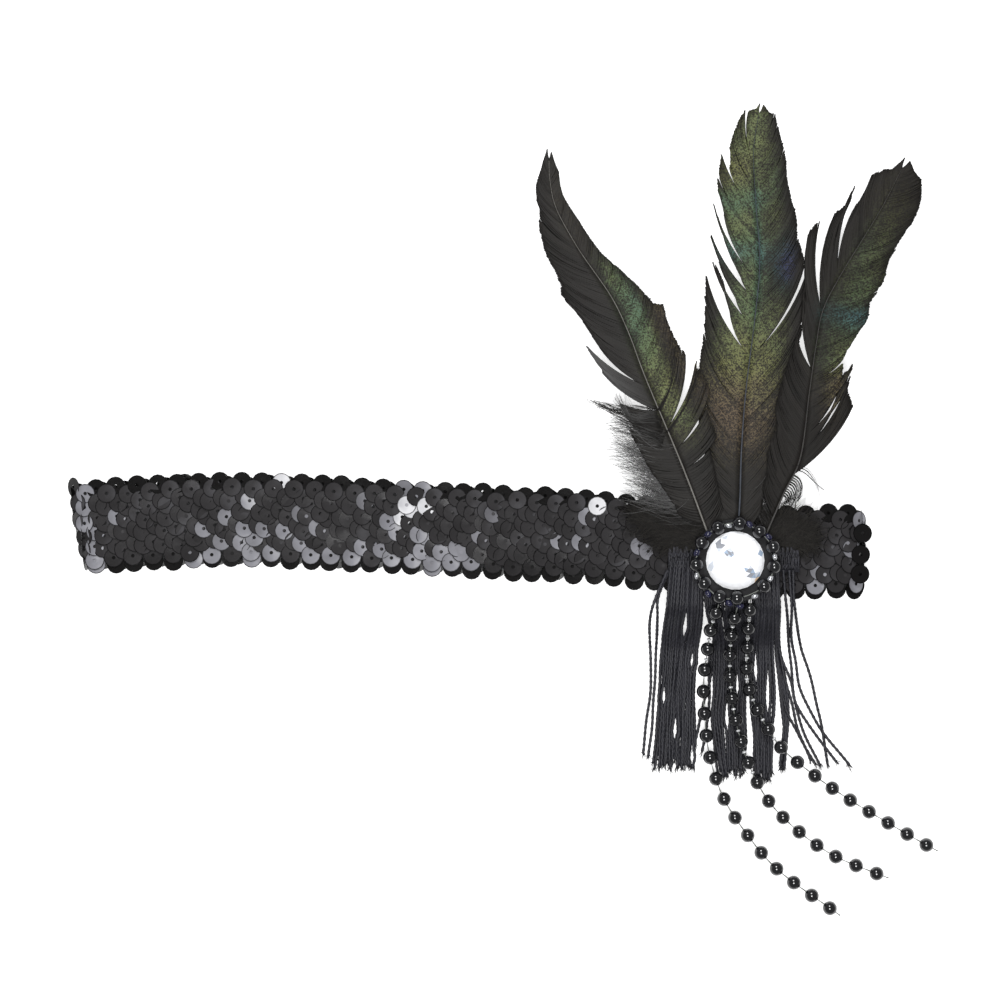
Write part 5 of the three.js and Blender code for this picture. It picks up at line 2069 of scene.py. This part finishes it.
def bead_strings() -> list[BeadString]:
    """Lists the three strings, on the solids' routes.

    Returns:
        The strings, from left to right.
    """
    return [
        BeadString(
            "bead_string_left", 249, True, 1.2, 17,
            (
                (-0.065, -0.192, 11.2), (-0.072, -0.255, 7.4), (-0.081, -0.345, FRINGE_BEAD + 0.5),
                (-0.078, -0.445, FRINGE_BEAD), (-0.064, -0.555, FRINGE_BEAD),
                (-0.025, -0.673, FRINGE_BEAD - 0.7),
                (0.04, -0.775, FLOOR_BEAD), (0.122, -0.872, FLOOR_BEAD), (0.273, -0.985, FLOOR_BEAD),
                (0.32, -1.018, FLOOR_BEAD),
            ),
            3,
        ),
        BeadString(
            "bead_string_middle", 272, True, 2.4, 16,
            (
                (-0.005, -0.191, 11.2), (-0.008, -0.255, 7.4), (-0.006, -0.345, FRINGE_BEAD + 0.5),
                (0.01, -0.455, FRINGE_BEAD), (0.045, -0.574, FRINGE_BEAD),
                (0.101, -0.68, FRINGE_BEAD - 0.7),
                (0.185, -0.767, FLOOR_BEAD), (0.285, -0.837, FLOOR_BEAD), (0.399, -0.886, FLOOR_BEAD),
                (0.455, -0.907, FLOOR_BEAD),
            ),
            8,
        ),
        BeadString(
            "bead_string_right", 291, False, 1.8, 16,
            (
                (0.04, -0.191, 11.2), (0.04, -0.255, 7.4), (0.042, -0.345, FRINGE_BEAD + 0.5),
                (0.071, -0.423, FRINGE_BEAD), (0.134, -0.526, FRINGE_BEAD), (0.227, -0.606, FRINGE_BEAD),
                (0.331, -0.679, FLOOR_BEAD + 0.2), (0.435, -0.742, FLOOR_BEAD), (0.544, -0.805, FLOOR_BEAD),
                (0.597, -0.833, FLOOR_BEAD),
            ),
            7,
        ),
    ]


# The studio.


@dataclass
class Studio:
    """Floor, lamps, surround and camera."""

    centre_x: float = -72.3
    centre_y: float = 18.6
    width: float = 310.0
    lens: float = 100.0
    sensor: float = 36.0
    focus_level: float = 8.0
    lamp_reach: float = 950.0

    def eye(self) -> np.ndarray:
        """Returns the camera's place in millimetres."""
        height = self.width * self.lens / self.sensor
        return np.array([self.centre_x, self.centre_y, self.focus_level + height])

    def lamp_spot(self, tilt: float, aside: float) -> np.ndarray:
        """Finds the place of a lamp.

        Args:
            tilt: degrees from the vertical, towards +Y.
            aside: how far it hangs from the middle, towards +X.

        Returns:
            The place in millimetres.
        """
        angle = math.radians(tilt)
        y = self.centre_y + self.lamp_reach * math.sin(angle)
        return np.array([self.centre_x + aside, y, self.lamp_reach * math.cos(angle)])

    def lamp(self, name: str, spot: np.ndarray, size: float, power: float) -> None:
        """Hangs a square soft lamp over the floor.

        Args:
            name: its name.
            spot: its place in millimetres.
            size: its side in millimetres.
            power: in watts.
        """
        data = bpy.data.lights.new(name, "AREA")
        data.shape = "SQUARE"
        data.size = size * MM
        data.energy = power
        made = bpy.data.objects.new(name, data)
        made.location = spot * MM
        aim = Vector((self.centre_x * MM, self.centre_y * MM, 0)) - made.location
        made.rotation_euler = aim.to_track_quat("-Z", "Y").to_euler()
        made.visible_camera = False
        bpy.context.collection.objects.link(made)

    def surround(self) -> None:
        """Sets the soft surround: pale at the sides and darker overhead."""
        world = bpy.data.worlds.new("studio")
        bpy.context.scene.world = world
        world.use_nodes = True
        tree = world.node_tree
        background = tree.nodes["Background"]
        place = tree.nodes.new("ShaderNodeTexCoord")
        split = tree.nodes.new("ShaderNodeSeparateXYZ")
        ramp = tree.nodes.new("ShaderNodeValToRGB")
        shades = ((0.2, 1.1), (0.6, 0.75), (0.95, 0.75), (0.975, 0.9))
        for height, _ in shades[2:]:
            ramp.color_ramp.elements.new(height)
        for element, (height, shade) in zip(ramp.color_ramp.elements, shades):
            element.position = height
            element.color = (shade, shade, 1.01 * shade, 1)
        tree.links.new(place.outputs["Generated"], split.inputs["Vector"])
        tree.links.new(split.outputs["Z"], ramp.inputs["Fac"])
        tree.links.new(ramp.outputs["Color"], background.inputs["Color"])
        background.inputs["Strength"].default_value = 0.3

    def floor(self) -> None:
        """Lays the pale floor."""
        Bench.clear()
        bpy.ops.mesh.primitive_plane_add(size=8.0, location=(0, 0, -0.25 * MM))
        floor = bpy.context.object
        floor.name = "floor"
        recipe = Recipe("pale_floor")
        recipe.set(Base_Color=(0.93, 0.93, 0.93, 1), Roughness=0.9, Specular_IOR_Level=0.1)
        recipe.set(Emission_Color=(1, 1, 1, 1), Emission_Strength=0.62)
        floor.data.materials.append(recipe.material)

    def camera(self) -> None:
        """Sets the camera, straight above."""
        data = bpy.data.cameras.new("camera")
        data.lens = self.lens
        data.sensor_width = self.sensor
        made = bpy.data.objects.new("camera", data)
        made.location = self.eye() * MM
        bpy.context.collection.objects.link(made)
        bpy.context.scene.camera = made

    def make(self) -> None:
        """Sets up the studio."""
        self.camera()
        self.surround()
        self.floor()
        self.lamp("lamp_back", self.lamp_spot(36, -60), 320, 4.8)
        self.lamp("lamp_front", self.lamp_spot(-11, 0), 320, 4.8)
        bpy.context.scene.view_settings.view_transform = "Standard"


def main() -> None:
    """Builds the headband, piece by piece."""
    logging.basicConfig(level=logging.INFO, format="%(name)s: %(message)s")
    studio = Studio()
    studio.make()
    band = SequinBand(BandLoop())
    band.web()
    band.sequins()
    Fringe().make()
    DownTuft().make()
    for feather in plumes():
        feather.make()
    Rosette().make()
    for string in bead_strings():
        string.make()


if __name__ == "__main__":
    main()
